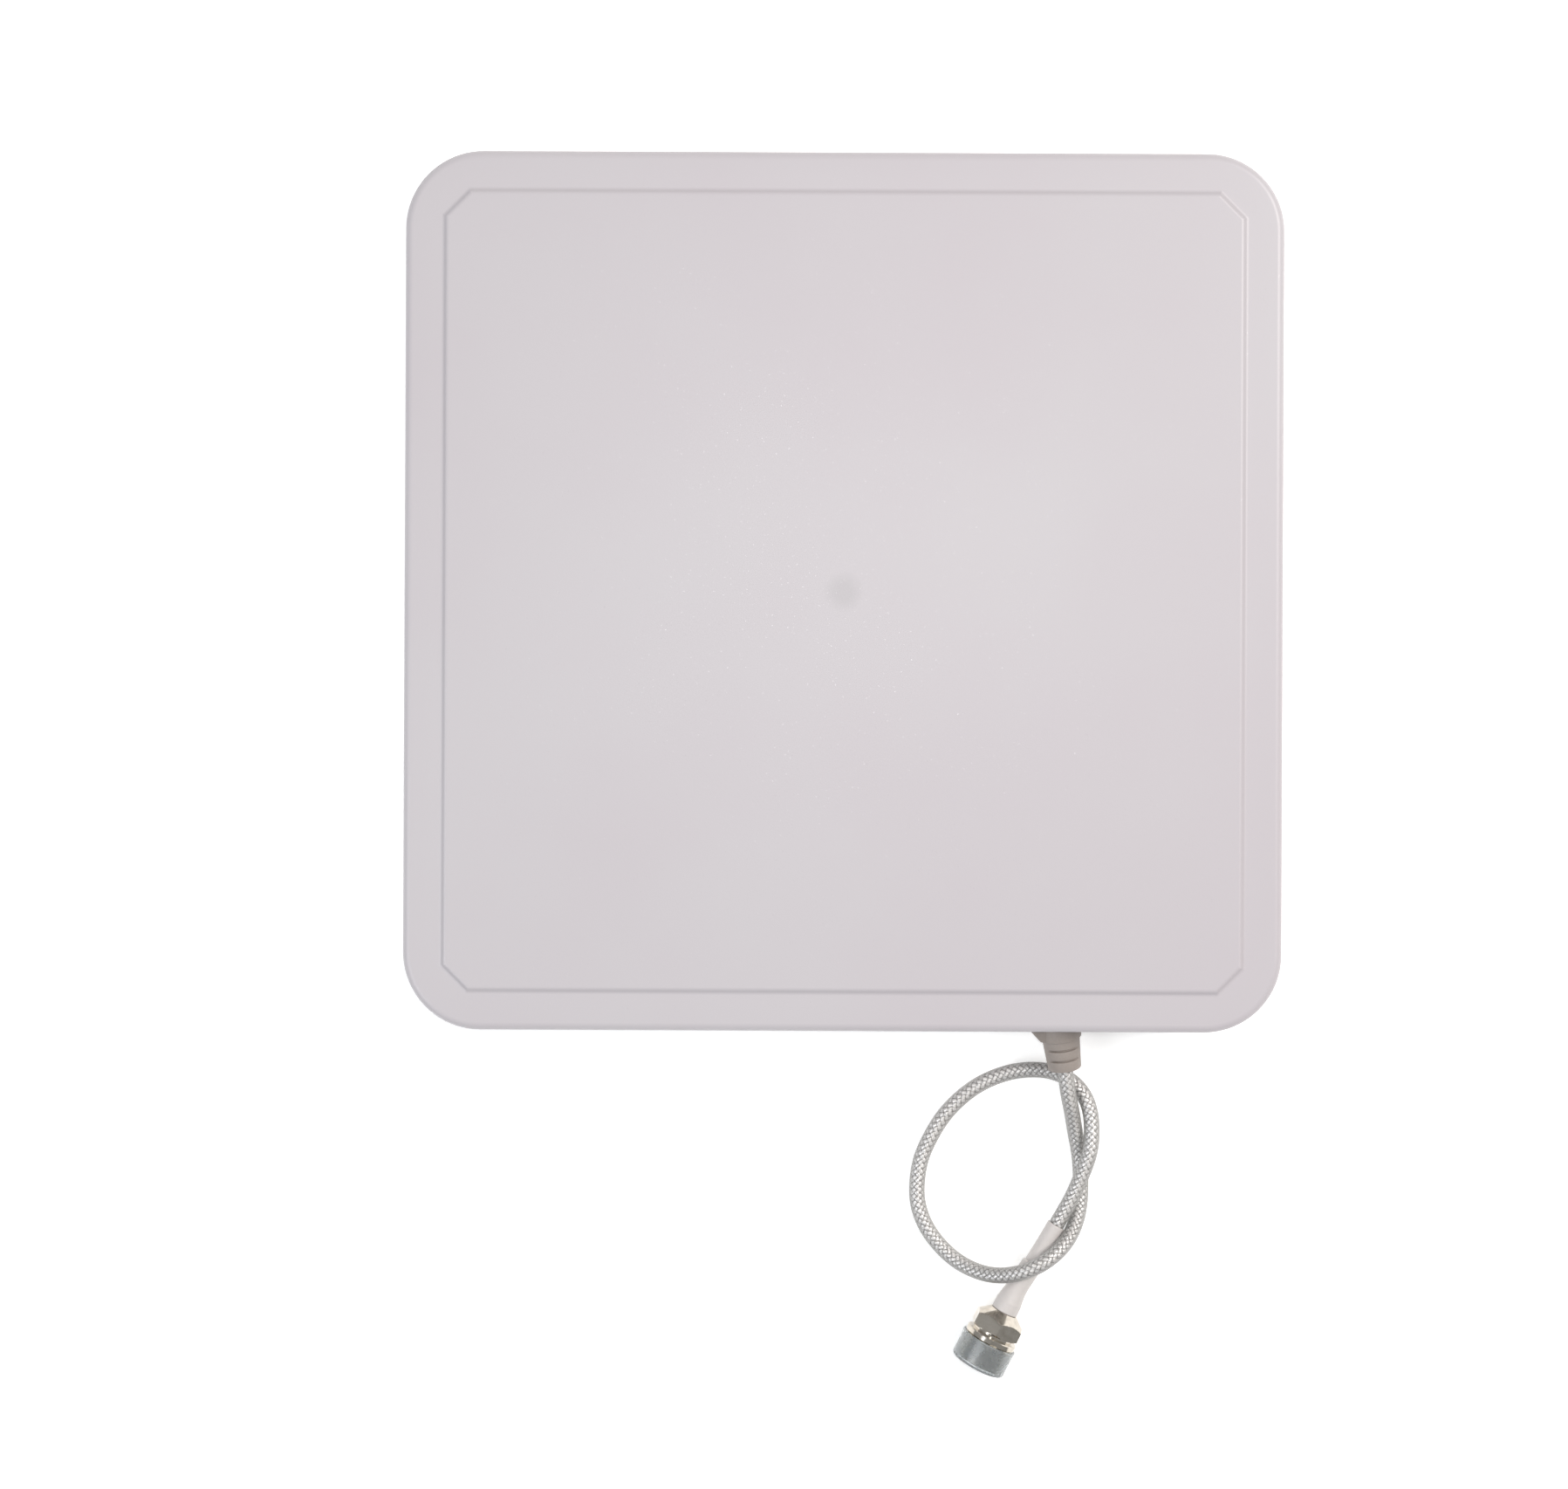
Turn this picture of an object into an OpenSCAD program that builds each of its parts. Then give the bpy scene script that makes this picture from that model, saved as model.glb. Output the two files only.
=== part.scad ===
// UHF panel antenna of a shop security gate. A square moulded radome closes over an
// aluminium ground plate that carries a stacked patch radiator, its feed board and the
// coax run. A short pigtail leaves one side and ends in a threaded jack with a dust cap.
// The back face lies on z = 0, the front faces +Z and the cable leaves the -Y side.

/* [Radome] */
// Side of the square panel
panel_w = 260; // [240:1:320]
// Depth from the back face to the raised front
panel_d = 33; // [31:0.5:42]
// Radius of the panel's four corners
corner_r = 23; // [18:0.5:28]
// Thickness of the moulded walls
wall_t = 3.2; // [3:0.1:4]
// Thickness of the lip that surrounds the ground plate
lip_t = 1.2; // [1:0.1:1.4]
// Rounding of the edge between the sides and the front
edge_r = 2.5; // [1:0.25:3]
// Distance from the panel's side to the raised front
plateau_inset = 12; // [10:0.5:14]
// Height of the raised front above its rim
plateau_h = 1; // [0.5:0.1:1.5]
// Cut across each corner of the raised front
plateau_cut = 7.5; // [4:0.5:10]
// Distance from the panel's side to the screw bosses
boss_inset = 9; // [8:0.5:11]
// Diameter of a screw boss
boss_d = 8; // [7:0.5:9]

/* [Ground plate] */
// Thickness of the aluminium ground plate
plate_t = 2; // [2:0.1:3]
// Clearance round the ground plate
plate_gap = 0.4; // [0.3:0.05:0.6]
// Height of the pressed gasket between the ledge and the plate
gasket_h = 1; // [0.6:0.1:1.5]
// Width of the gasket strip
gasket_w = 1.4; // [1:0.1:1.6]
// Spacing of the four mounting nuts
nut_pitch = 100; // [75:5:110]
// Hole in a mounting nut, the minor diameter of M5
nut_bore_d = 4.2; // [3.3:0.1:5]
// Diameter of a mounting nut inside the panel
nut_d = 11; // [10:0.5:12]
// Height of a mounting nut above the plate
nut_h = 7.5; // [6:0.5:10]

/* [Radiator] */
// Side of the driven patch
driven_w = 148; // [140:1:160]
// Side of the parasitic patch
parasitic_w = 136; // [120:1:140]
// Thickness of the patches
patch_t = 1.5; // [1:0.1:2]
// Height of the driven patch above the ground plate
driven_h = 12; // [11:0.5:13]
// Gap between the two patches
patch_gap = 8; // [7.5:0.5:8.5]
// Spacing of the four nylon standoffs
standoff_pitch = 124; // [120:1:132]
// Diameter of a nylon standoff
standoff_d = 8; // [7:0.5:9]
// Diameter of the post and the spacer at the centre
post_d = 10; // [9:0.5:12]

/* [Feed board] */
// Thickness of the feed board
board_t = 1.6; // [1:0.1:1.8]
// Distance from the centre to each feed probe
probe_r = 32; // [30:0.5:34]
// Width of the coupler's tracks
track_w = 2.5; // [2:0.1:3]
// Diameter of a feed probe
probe_d = 2; // [1.5:0.1:2.5]

/* [Cable] */
// Outer diameter of the coax
coax_d = 4.8; // [4:0.1:5]
// Diameter of the inner heat-shrink sleeve
sleeve_d = 5.5; // [5.2:0.1:6]
// Diameter of the outer heat-shrink sleeve where it starts
shrink_d = 6.6; // [6.2:0.1:7]
// Diameter of the outer heat-shrink sleeve at the jack
shrink_end_d = 8.1; // [7.6:0.1:8.4]
// Diameter of the strain relief at the panel
boot_d = 11.9; // [11:0.1:13]
// Diameter of the strain relief where the cable leaves it
boot_end_d = 10; // [9:0.1:11]
// Reach of the lug that keys the strain relief to the panel
lug_w = 9.8; // [9:0.1:13]

/* [Jack] */
// Width across the flats of the hexagon
hex_w = 14.2; // [14:0.1:16]
// Length of the hexagon with its chamfers
hex_l = 6.9; // [5:0.1:9]
// Diameter of the collar behind the thread
collar_d = 16; // [15.9:0.1:17]
// Major diameter of the thread
thread_d = 15.8; // [15.5:0.1:15.8]
// Length of the thread
thread_l = 7.8; // [7:0.1:10]
// Bore at the front of the jack
socket_d = 8.4; // [8:0.1:9]
// Wall of the dust cap
cap_t = 0.4; // [0.3:0.05:0.45]
// Radial clearance between the dust cap and the thread
cap_gap = 0.15; // [0.1:0.01:0.2]

/* [Hidden] */
$fn = 48;

eps = 0.01;
// Clearance of a screw in its tapped hole, and of a pressed piece in its seat
fit = 0.05;
// Clearance of a screw or a spigot in a drilled hole
hole_gap = 0.2;

// Levels above the back face
ledge_z = plate_t + gasket_h;
rim_z = panel_d - plateau_h;
roof_z = rim_z - wall_t;
driven_z = plate_t + driven_h;
spacer_z = driven_z + patch_t;
parasitic_z = spacer_z + patch_gap;
board_z = plate_t + board_t;

// Widths of the square outlines, which all share the panel's corner centres
gasket_gap = 0.1;
cavity_w = panel_w - 2 * wall_t;
rebate_w = panel_w - 2 * lip_t;
plate_w = rebate_w - 2 * plate_gap;
gasket_in_w = cavity_w + 2 * gasket_gap;
gasket_out_w = gasket_in_w + 2 * gasket_w;
plateau_w = panel_w - 2 * plateau_inset;
plateau_slope = 1.2;

// Screws: shank radius, head radius, head height and length under the head
cover_r = 1.75;
cover_head_r = 3.4;
cover_l = 13;
m4_r = 2;
m4_head_r = 3.8;
m4_sink_r = 3.8;
m3_r = 1.5;
m3_head_r = 2.8;
m25_r = 1.25;
m25_head_r = 2.4;
base_screw_l = 8;
top_screw_l = 16;
nylon_screw_l = patch_t + 3;
pan_k = 0.65;
cross_k = 0.55;
cross_w = 0.8;
cross_depth = 0.8;
cross_cut_l = 2;

// The cover screws sit at the corners and at the middle of each side
boss_side = panel_w / 2 - boss_inset;
boss_corner_gap = 3;
boss_rib_t = 2;
boss_corner = panel_w / 2 - corner_r + (corner_r - boss_inset - boss_corner_gap) / sqrt(2);
bosses = [for (x = [-1, 0, 1], y = [-1, 0, 1]) if (x != 0 || y != 0)
          (x == 0 || y == 0) ? [x, y] * boss_side : [x, y] * boss_corner];
corners = [[-1, -1], [1, -1], [1, 1], [-1, 1]];

// The feed board is a square round the two probes with its inner and outer corners cut off
board_in = [-6, 6];
board_out = probe_r + 18;
board_cut_in = probe_r;
board_cut_out = 16;
ring_c = [1, -1] * (probe_r - 8);
ring_w = 30;
ring_h = 24;
probes = [[0, -probe_r], [probe_r, 0]];
track_t = 0.1;
resistor_size = [4, 6];
resistor_h = 1.2;
probe_end = 0.6;
board_screws = [[board_in[0] + 4, 6 - board_out], ring_c, [board_out - 6, board_in[1] - 4]];

// The cable is a cubic B-spline through control points, from the feed board to the strain
// relief and from there to the jack. The last step inside equals the first step outside.
// The points lie as chosen for a wall at route_wall_y and a plate route_plate_t thick. They
// move with the panel's wall, and those inside, up to the saddle, by a share that grows along
// the cable. Those that lie on the plate rise with it, by a share that fades to the wall.
route_wall_y = -130;
route_plate_t = 2;
saddle_point = 9;
wall_point = 14;
inner_points = [[24, -48, 6.5], [29.5, -52.5, 6.5], [36, -56, 5.5], [43, -58.5, 4.5],
    [50, -62, 4.5], [56, -66.5, 4.5], [61, -72, 4.5], [64.5, -78, 4.5], [65.5, -84.5, 4.5],
    [65.5, -91, 4.5], [65.5, -97.5, 4.5], [65.5, -104, 6], [65.5, -110.5, 10],
    [65.5, -117, 14], [65.5, -124, 15.5], [65.5, -131, 15.5], [66.5, -138, 14]];
free_points = [[66.5, -138, 14], [67.5, -145, 12.5], [68.5, -152, 11], [70, -158, 8],
    [71, -164, 5], [72.5, -170.5, 3], [73, -177, 2.5], [73, -184, 2.5], [72, -190, 4.5],
    [69, -195.5, 9.5], [64.5, -199.5, 13.5], [59, -203, 14.5], [52.5, -205.5, 13.5], [46, -206.5, 10.5],
    [40, -205.5, 7], [34.5, -203, 4], [29.5, -198.5, 2.5], [25.5, -193, 2.5],
    [23, -186, 2.5], [23, -179.5, 2.5], [24, -172.5, 2.5], [27, -166, 2.5],
    [30.5, -160, 2.5], [35, -155, 2.5], [40.5, -150.5, 2.5], [46.5, -147.5, 2.5],
    [53, -145.5, 2.5], [60, -145, 3], [66.5, -146, 4], [72.5, -150, 6], [75.5, -156, 7.5],
    [76, -163, 8], [75.5, -169.5, 8.5], [73, -176, 8], [70.5, -182.5, 7.5],
    [67, -188.5, 7.5], [63.5, -194.5, 7.5], [60, -200.5, 7.5], [56.5, -205.5, 8],
    [52.5, -211.5, 8.5], [49.5, -217.5, 8.5]];
wall_shift = [0, -panel_w / 2 - route_wall_y, 0];
plate_lift = [0, 0, plate_t - route_plate_t];
inner_route = [for (i = [0 : len(inner_points) - 1])
               let (out = min(i / saddle_point, 1),
                    up = min(max((wall_point - i) / (wall_point - saddle_point - 1), 0), 1))
               inner_points[i] + out * wall_shift + up * plate_lift];
free_route = [for (p = free_points) p + wall_shift];
coax_r = coax_d / 2;
coax_sides = 10;
ring_step = 0.5;
free_end = len(free_route) - 1;
// Places along the free route, counted in control points, where the two sleeves start
sleeve_from = 35.5;
shrink_from = 37.5;

// Strain relief: it passes the panel's wall at boot_pos and ends boot_reach past the start of
// the free route
boot_bend = inner_route[len(inner_route) - 2];
boot_pos = [boot_bend[0], -panel_w / 2, boot_bend[2]];
boot_dir = unit(free_route[1] - free_route[0]);
boot_reach = 5;
boot_end = free_route[0] + boot_reach * boot_dir;
boot_l = norm(boot_end - boot_bend);
bend_gap = 0.35;
boot_hole_r = 6;
boot_flange_r = 8;
boot_flange_t = 2;
boot_seat_l = 3.4;
boot_root_l = 0.7;
lug_l = 3.5;
lug_t = 8;
groove_w = 0.8;
groove_depth = 0.5;
grooves = [3, 6.4, 9.8];

// Cable saddle
saddle_pos = [inner_route[saddle_point][0], inner_route[saddle_point][1]];
saddle_z = inner_route[saddle_point][2];
saddle_l = 8;
saddle_wall = 1.4;
saddle_gap = 0.1;
saddle_foot = 7.6;

// Jack: lengths along its axis, from the end of the cable
jack_pos = free_route[free_end];
jack_dir = unit(free_route[free_end] - free_route[free_end - 1]);
hex_rear_r = 4.2;
hex_out_r = 8.4;
hex_rear_l = 3.3;
hex_front_r = 7.2;
hex_front_l = 0.7;
neck_r = 6.8;
neck_l = 1;
collar_l = 1.8;
thread_chamfer = 0.5;
collar_z = hex_l + neck_l;
thread_z = collar_z + collar_l;
jack_l = thread_z + thread_l;
socket_l = 9;
socket_z = jack_l - socket_l;
ferrule_r = 3.2;
ferrule_bore_r = 2.7;
ferrule_l = 6.5;
insulator_r = 3;
insulator_z = 1.5;
contact_r = 0.95;
socket_contact_r = 1.5;
contact_bore_r = 0.8;
contact_l = 7;
contact_bore_l = 5;
cap_r = thread_d / 2 + cap_gap + cap_t;
cap_rim_z = thread_z + 0.1;
cap_end_t = 0.8;
cap_chamfer = 1;
cap_l = thread_l + 0.1 + cap_end_t;

// ---- Vectors and the cable's curve ----

function unit(v) = v / norm(v);

// Control point i of a route, with one more beyond each end so that the curve reaches it
function control(P, i) =
    i < 0 ? 2 * P[0] - P[1] :
    i >= len(P) ? 2 * P[len(P) - 1] - P[len(P) - 2] : P[i];

// Point on the curve at place t, counted in control points
function route_point(P, t) =
    let (i = min(floor(t), len(P) - 2), f = t - i)
    (pow(1 - f, 3) * control(P, i - 1) + (3 * pow(f, 3) - 6 * pow(f, 2) + 4) * control(P, i)
     + (3 * f + 3 * pow(f, 2) - 3 * pow(f, 3) + 1) * control(P, i + 1)
     + pow(f, 3) * control(P, i + 2)) / 6;

// Direction of the curve at place t
function route_dir(P, t) =
    let (i = min(floor(t), len(P) - 2), f = t - i)
    unit(-pow(1 - f, 2) * control(P, i - 1) + (3 * pow(f, 2) - 4 * f) * control(P, i)
         + (1 + 2 * f - 3 * pow(f, 2)) * control(P, i + 1) + pow(f, 2) * control(P, i + 2));

// Ring of points round the curve at place t
function route_ring(P, t, r) =
    let (p = route_point(P, t), d = route_dir(P, t), side = unit(cross(d, [0, 0, 1])),
         up = cross(side, d))
    [for (i = [0 : coax_sides - 1])
        let (a = 360 * i / coax_sides) p + r * (cos(a) * side + sin(a) * up)];

// Tube along a route between two places, its radius going from r1 to r2
module sweep(P, t1, t2, r1, r2) {
    places = [for (t = [t1 : ring_step : t2]) t];
    last = len(places) - 1;
    n = coax_sides;
    points = [for (k = [0 : last]) each route_ring(P, places[k], r1 + (r2 - r1) * k / last)];
    sides = [for (k = [0 : last - 1], i = [0 : n - 1])
             let (j = (i + 1) % n) [k * n + i, k * n + j, (k + 1) * n + j, (k + 1) * n + i]];
    caps = [[for (i = [n - 1 : -1 : 0]) i], [for (i = [0 : n - 1]) last * n + i]];
    polyhedron(points, concat(sides, caps), convexity = 10);
}

// Places its children at a point with +Z turned to a direction
module along(pos, dir) {
    translate(pos)
        rotate([0, acos(dir[2]), atan2(dir[1], dir[0])])
            children();
}

// ---- Shapes that repeat ----

// Square with round corners, centred
module rounded_square(w, r) {
    square([w, w - 2 * r], center = true);
    square([w - 2 * r, w], center = true);
    for (c = corners)
        translate(c * (w / 2 - r)) circle(r);
}

// Square with its corners cut off at 45 degrees, centred
module cut_square(w, cut) {
    h = w / 2;
    c = h - cut;
    polygon([[h, c], [c, h], [-c, h], [-h, c], [-h, -c], [-c, -h], [c, -h], [h, -c]]);
}

// Slab with round corners and a rounded top edge
module soft_slab(w, r, h, edge) {
    hull()
        for (c = corners)
            translate(c * (w / 2 - r)) {
                cylinder(r = r, h = h - edge, $fn = 64);
                translate([0, 0, h - edge])
                    rotate_extrude($fn = 64)
                        translate([r - edge, 0])
                            circle(edge, $fn = 24);
            }
}

// Square that shares the panel's corner centres
module panel_outline(w) {
    rounded_square(w, corner_r - (panel_w - w) / 2);
}

// Plate with that outline, from z to z + t
module panel_plate(w, z, t) {
    translate([0, 0, z])
        linear_extrude(t)
            panel_outline(w);
}

// Plate with round corners, from z to z + t
module plate(w, r, z, t) {
    translate([0, 0, z])
        linear_extrude(t)
            rounded_square(w, r);
}

// Tube standing on z
module tube(r, bore, z, h) {
    translate([0, 0, z])
        difference() {
            cylinder(r = r, h = h);
            translate([0, 0, -1]) cylinder(r = bore, h = h + 2);
        }
}

// Pan-head screw, its head sitting on z and its shank pointing down
module pan_screw(r, head_r, l, z) {
    translate([0, 0, z - l]) cylinder(r = r, h = l + eps);
    difference() {
        translate([0, 0, z]) cylinder(r = head_r, h = head_r * pan_k);
        translate([0, 0, z + head_r * pan_k - cross_depth]) drive_cross(head_r * cross_k);
    }
}

// Countersunk screw, its head flush with z = 0 and its shank pointing up
module sunk_screw(r, head_r, l) {
    difference() {
        union() {
            cylinder(r1 = head_r, r2 = r, h = head_r - r);
            cylinder(r = r, h = l);
        }
        translate([0, 0, cross_depth - cross_cut_l]) drive_cross(head_r * cross_k);
    }
}

// Cross recess of a screw head
module drive_cross(r) {
    for (a = [0, 90])
        rotate(a)
            translate([-r, -cross_w / 2, 0]) cube([2 * r, cross_w, cross_cut_l]);
}

// Countersunk hole through the ground plate
module sunk_hole(r, head_r) {
    translate([0, 0, -1]) cylinder(r = r, h = plate_t + 2);
    translate([0, 0, -eps]) cylinder(r1 = head_r + eps, r2 = r, h = head_r - r + eps);
}

// Straight track from a to b on the feed board
module track(a, b) {
    translate(a)
        rotate(atan2(b[1] - a[1], b[0] - a[0]))
            translate([-track_w / 2, -track_w / 2])
                square([norm(b - a) + track_w, track_w]);
}

// ---- Panel ----

module radome() {
    color("#d5d1d3")
    difference() {
        union() {
            difference() {
                union() {
                    soft_slab(panel_w, corner_r, rim_z, edge_r);
                    hull() {
                        translate([0, 0, rim_z - 1])
                            linear_extrude(1)
                                cut_square(plateau_w + plateau_slope, plateau_cut);
                        translate([0, 0, panel_d - 0.2])
                            linear_extrude(0.2)
                                cut_square(plateau_w - plateau_slope, plateau_cut);
                    }
                }
                panel_plate(cavity_w, -1, roof_z + 1);
                panel_plate(rebate_w, -1, ledge_z + 1);
                translate([0, 0, roof_z - eps])
                    linear_extrude(plateau_h + eps)
                        cut_square(plateau_w - 2 * wall_t, plateau_cut);
            }
            for (b = bosses) screw_boss(b);
        }
        for (b = bosses)
            translate([b[0], b[1], plate_t - 1])
                cylinder(r = cover_r + fit, h = cover_l);
        translate(boot_pos - [0, 1, 0])
            rotate([-90, 0, 0]) cylinder(r = boot_hole_r + fit, h = wall_t + 2);
    }
}

// Boss that stands from the plate to the roof, with a rib to the nearest wall
module screw_boss(b) {
    reach = boss_inset - wall_t / 2 + (norm(b) > boss_side + 1 ? boss_corner_gap : 0);
    translate([b[0], b[1], plate_t])
        cylinder(d = boss_d, h = roof_z - plate_t + eps);
    translate([b[0], b[1], ledge_z])
        rotate(atan2(b[1], b[0]))
            translate([0, -boss_rib_t / 2, 0])
                cube([reach, boss_rib_t, roof_z - ledge_z + eps]);
}

module ground_plate() {
    color("#c9ccce")
    difference() {
        panel_plate(plate_w, 0, plate_t);
        for (b = bosses)
            translate(b) sunk_hole(cover_r + hole_gap, cover_head_r + hole_gap);
        for (c = corners) {
            translate(c * nut_pitch / 2)
                translate([0, 0, -1]) cylinder(d = nut_d - 3 + 2 * fit, h = plate_t + 2);
            translate(c * standoff_pitch / 2) sunk_hole(m4_r + fit, m4_sink_r + fit);
        }
        sunk_hole(m4_r + fit, m4_sink_r + fit);
        for (p = small_screw_places())
            translate([p[0], p[1], -1]) cylinder(r = m25_r + fit, h = plate_t + 2);
    }
}

module plate_gasket() {
    color("#5b5e60")
    translate([0, 0, plate_t])
        linear_extrude(gasket_h)
            difference() {
                panel_outline(gasket_out_w);
                panel_outline(gasket_in_w);
            }
}

module cover_screws() {
    color("#b9bcc0")
    for (b = bosses)
        translate(b) sunk_screw(cover_r, cover_head_r, cover_l);
}

module mounting_nuts() {
    color("#c3c5c8")
    for (c = corners)
        translate(c * nut_pitch / 2)
            difference() {
                union() {
                    cylinder(d = nut_d - 3, h = plate_t + eps);
                    translate([0, 0, plate_t]) cylinder(d = nut_d, h = nut_h);
                }
                translate([0, 0, -1]) cylinder(d = nut_bore_d, h = plate_t + nut_h);
            }
}

// ---- Radiator ----

module base_screws() {
    color("#b9bcc0")
    for (p = concat([[0, 0]], corners * standoff_pitch / 2))
        translate(p) sunk_screw(m4_r, m4_sink_r, base_screw_l);
}

module centre_post() {
    color("#cfd2d4")
    tube(post_d / 2, m4_r + fit, plate_t, driven_h);
}

module patch_standoffs() {
    color("#efeee8")
    for (c = corners)
        translate(c * standoff_pitch / 2)
            difference() {
                translate([0, 0, plate_t]) cylinder(d = standoff_d, h = driven_h);
                translate([0, 0, plate_t - 1])
                    cylinder(r = m4_r + fit, h = base_screw_l - plate_t + 1.5);
                translate([0, 0, spacer_z - nylon_screw_l - 0.5])
                    cylinder(r = m3_r + fit, h = nylon_screw_l + 2);
            }
}

module driven_patch() {
    color("#cdd0d2")
    difference() {
        plate(driven_w, 3, driven_z, patch_t);
        for (c = corners)
            translate(c * standoff_pitch / 2)
                translate([0, 0, driven_z - 1]) cylinder(r = m3_r + hole_gap, h = patch_t + 2);
        translate([0, 0, driven_z - 1]) cylinder(r = m4_r + hole_gap, h = patch_t + 2);
        for (p = probes)
            translate([p[0], p[1], driven_z - 1]) cylinder(d = probe_d + 2 * fit, h = patch_t + 2);
    }
}

module patch_screws() {
    color("#efeee8")
    for (c = corners)
        translate(c * standoff_pitch / 2) pan_screw(m3_r, m3_head_r, nylon_screw_l, spacer_z);
}

module patch_spacer() {
    color("#efeee8")
    tube(post_d / 2, m4_r + hole_gap, spacer_z, patch_gap);
}

module parasitic_patch() {
    color("#cdd0d2")
    difference() {
        plate(parasitic_w, 3, parasitic_z, patch_t);
        translate([0, 0, parasitic_z - 1]) cylinder(r = m4_r + hole_gap, h = patch_t + 2);
    }
}

module centre_screw() {
    color("#b9bcc0")
    pan_screw(m4_r, m4_head_r, top_screw_l, parasitic_z + patch_t);
}

// ---- Feed board ----

module feed_board() {
    color("#2f6b45")
    translate([0, 0, plate_t])
        linear_extrude(board_t)
            difference() {
                polygon([[board_in[0], -board_out], [board_out - board_cut_out, -board_out],
                         [board_out, board_cut_out - board_out], [board_out, board_in[1]],
                         [board_in[0] + board_cut_in, board_in[1]],
                         [board_in[0], board_in[1] - board_cut_in]]);
                for (p = board_screws)
                    translate(p) circle(m25_r + hole_gap);
            }
}

// Corner of the coupler's ring, from its signs along the ring's two sides
function ring_corner(u, v) =
    ring_c + u * ring_w / 2 * [1, 1] / sqrt(2) + v * ring_h / 2 * [1, -1] / sqrt(2);

module coupler_tracks() {
    color("#c07a45")
    translate([0, 0, board_z])
        linear_extrude(track_t) {
            track(ring_corner(-1, -1), ring_corner(1, -1));
            track(ring_corner(-1, 1), ring_corner(1, 1));
            for (u = [-1, 1])
                track(ring_corner(u, -1), ring_corner(u, 1));
            track(ring_corner(-1, -1), probes[0]);
            track(ring_corner(1, -1), probes[1]);
            track(ring_corner(-1, 1), conductor_foot());
            track(ring_corner(1, 1), resistor_pos());
        }
}

module feed_probes() {
    color("#c9a24b")
    for (p = probes)
        translate([p[0], p[1], board_z + track_t]) {
            cylinder(d = probe_d + 2, h = driven_z - board_z - track_t);
            cylinder(d = probe_d, h = spacer_z - board_z - track_t + probe_end);
        }
}

function resistor_pos() = ring_corner(1, 1) + [2, -4];

module termination_resistor() {
    color("#e4e1da")
    translate([resistor_pos()[0], resistor_pos()[1], board_z + track_t])
        linear_extrude(resistor_h)
            square(resistor_size, center = true);
}

// Screws that hold the feed board and the cable saddle into the plate
function small_screw_places() =
    concat(board_screws, [for (s = [-1, 1]) saddle_pos + [s * saddle_foot, 0]]);

module small_screws() {
    color("#b9bcc0")
    for (p = small_screw_places())
        translate(p) pan_screw(m25_r, m25_head_r, board_z, board_z);
}

// ---- Cable inside the panel ----

module cable_saddle() {
    color("#efeee8")
    difference() {
        union() {
            translate([saddle_pos[0], saddle_pos[1] - saddle_l / 2, saddle_z])
                rotate([-90, 0, 0])
                    cylinder(r = coax_r + saddle_gap + saddle_wall, h = saddle_l);
            translate([saddle_pos[0], saddle_pos[1], plate_t + board_t / 2])
                cube([2 * saddle_foot + 6, saddle_l, board_t], center = true);
        }
        // Tunnel for the cable, open towards the plate
        translate([saddle_pos[0], saddle_pos[1] - saddle_l, saddle_z])
            rotate([-90, 0, 0]) cylinder(r = coax_r + saddle_gap, h = 2 * saddle_l);
        translate([saddle_pos[0] - coax_r - saddle_gap, saddle_pos[1] - saddle_l, 0])
            cube([2 * (coax_r + saddle_gap), 2 * saddle_l, saddle_z]);
        translate([saddle_pos[0], saddle_pos[1], plate_t - 5])
            cube([4 * saddle_foot, 2 * saddle_l, 10], center = true);
        for (s = [-1, 1])
            translate([saddle_pos[0] + s * saddle_foot, saddle_pos[1], 0])
                cylinder(r = m25_r + hole_gap, h = 10);
    }
}

module inner_coax() {
    color("#c4c0b9")
    sweep(inner_route, 0, len(inner_route) - 1, coax_r, coax_r);
}

// The stripped end of the coax lies over the feed board
core_dir = unit(inner_route[0] - inner_route[1]);
core_r = 1.45;
core_l = 2.5;
wire_l = 4;
wire_r = 0.45;

function conductor_foot() =
    [inner_route[0][0] + wire_l * core_dir[0], inner_route[0][1] + wire_l * core_dir[1]];

module core_insulator() {
    color("#f1efe9")
    along(inner_route[0], core_dir) tube(core_r, wire_r + fit, 0, core_l);
}

module centre_conductor() {
    color("#c9a24b") {
        along(inner_route[0], core_dir) cylinder(r = wire_r, h = wire_l);
        translate([conductor_foot()[0], conductor_foot()[1], board_z + track_t])
            cylinder(r = wire_r, h = inner_route[0][2] + wire_r - board_z - track_t);
    }
}

// ---- Cable outside the panel ----

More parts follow.
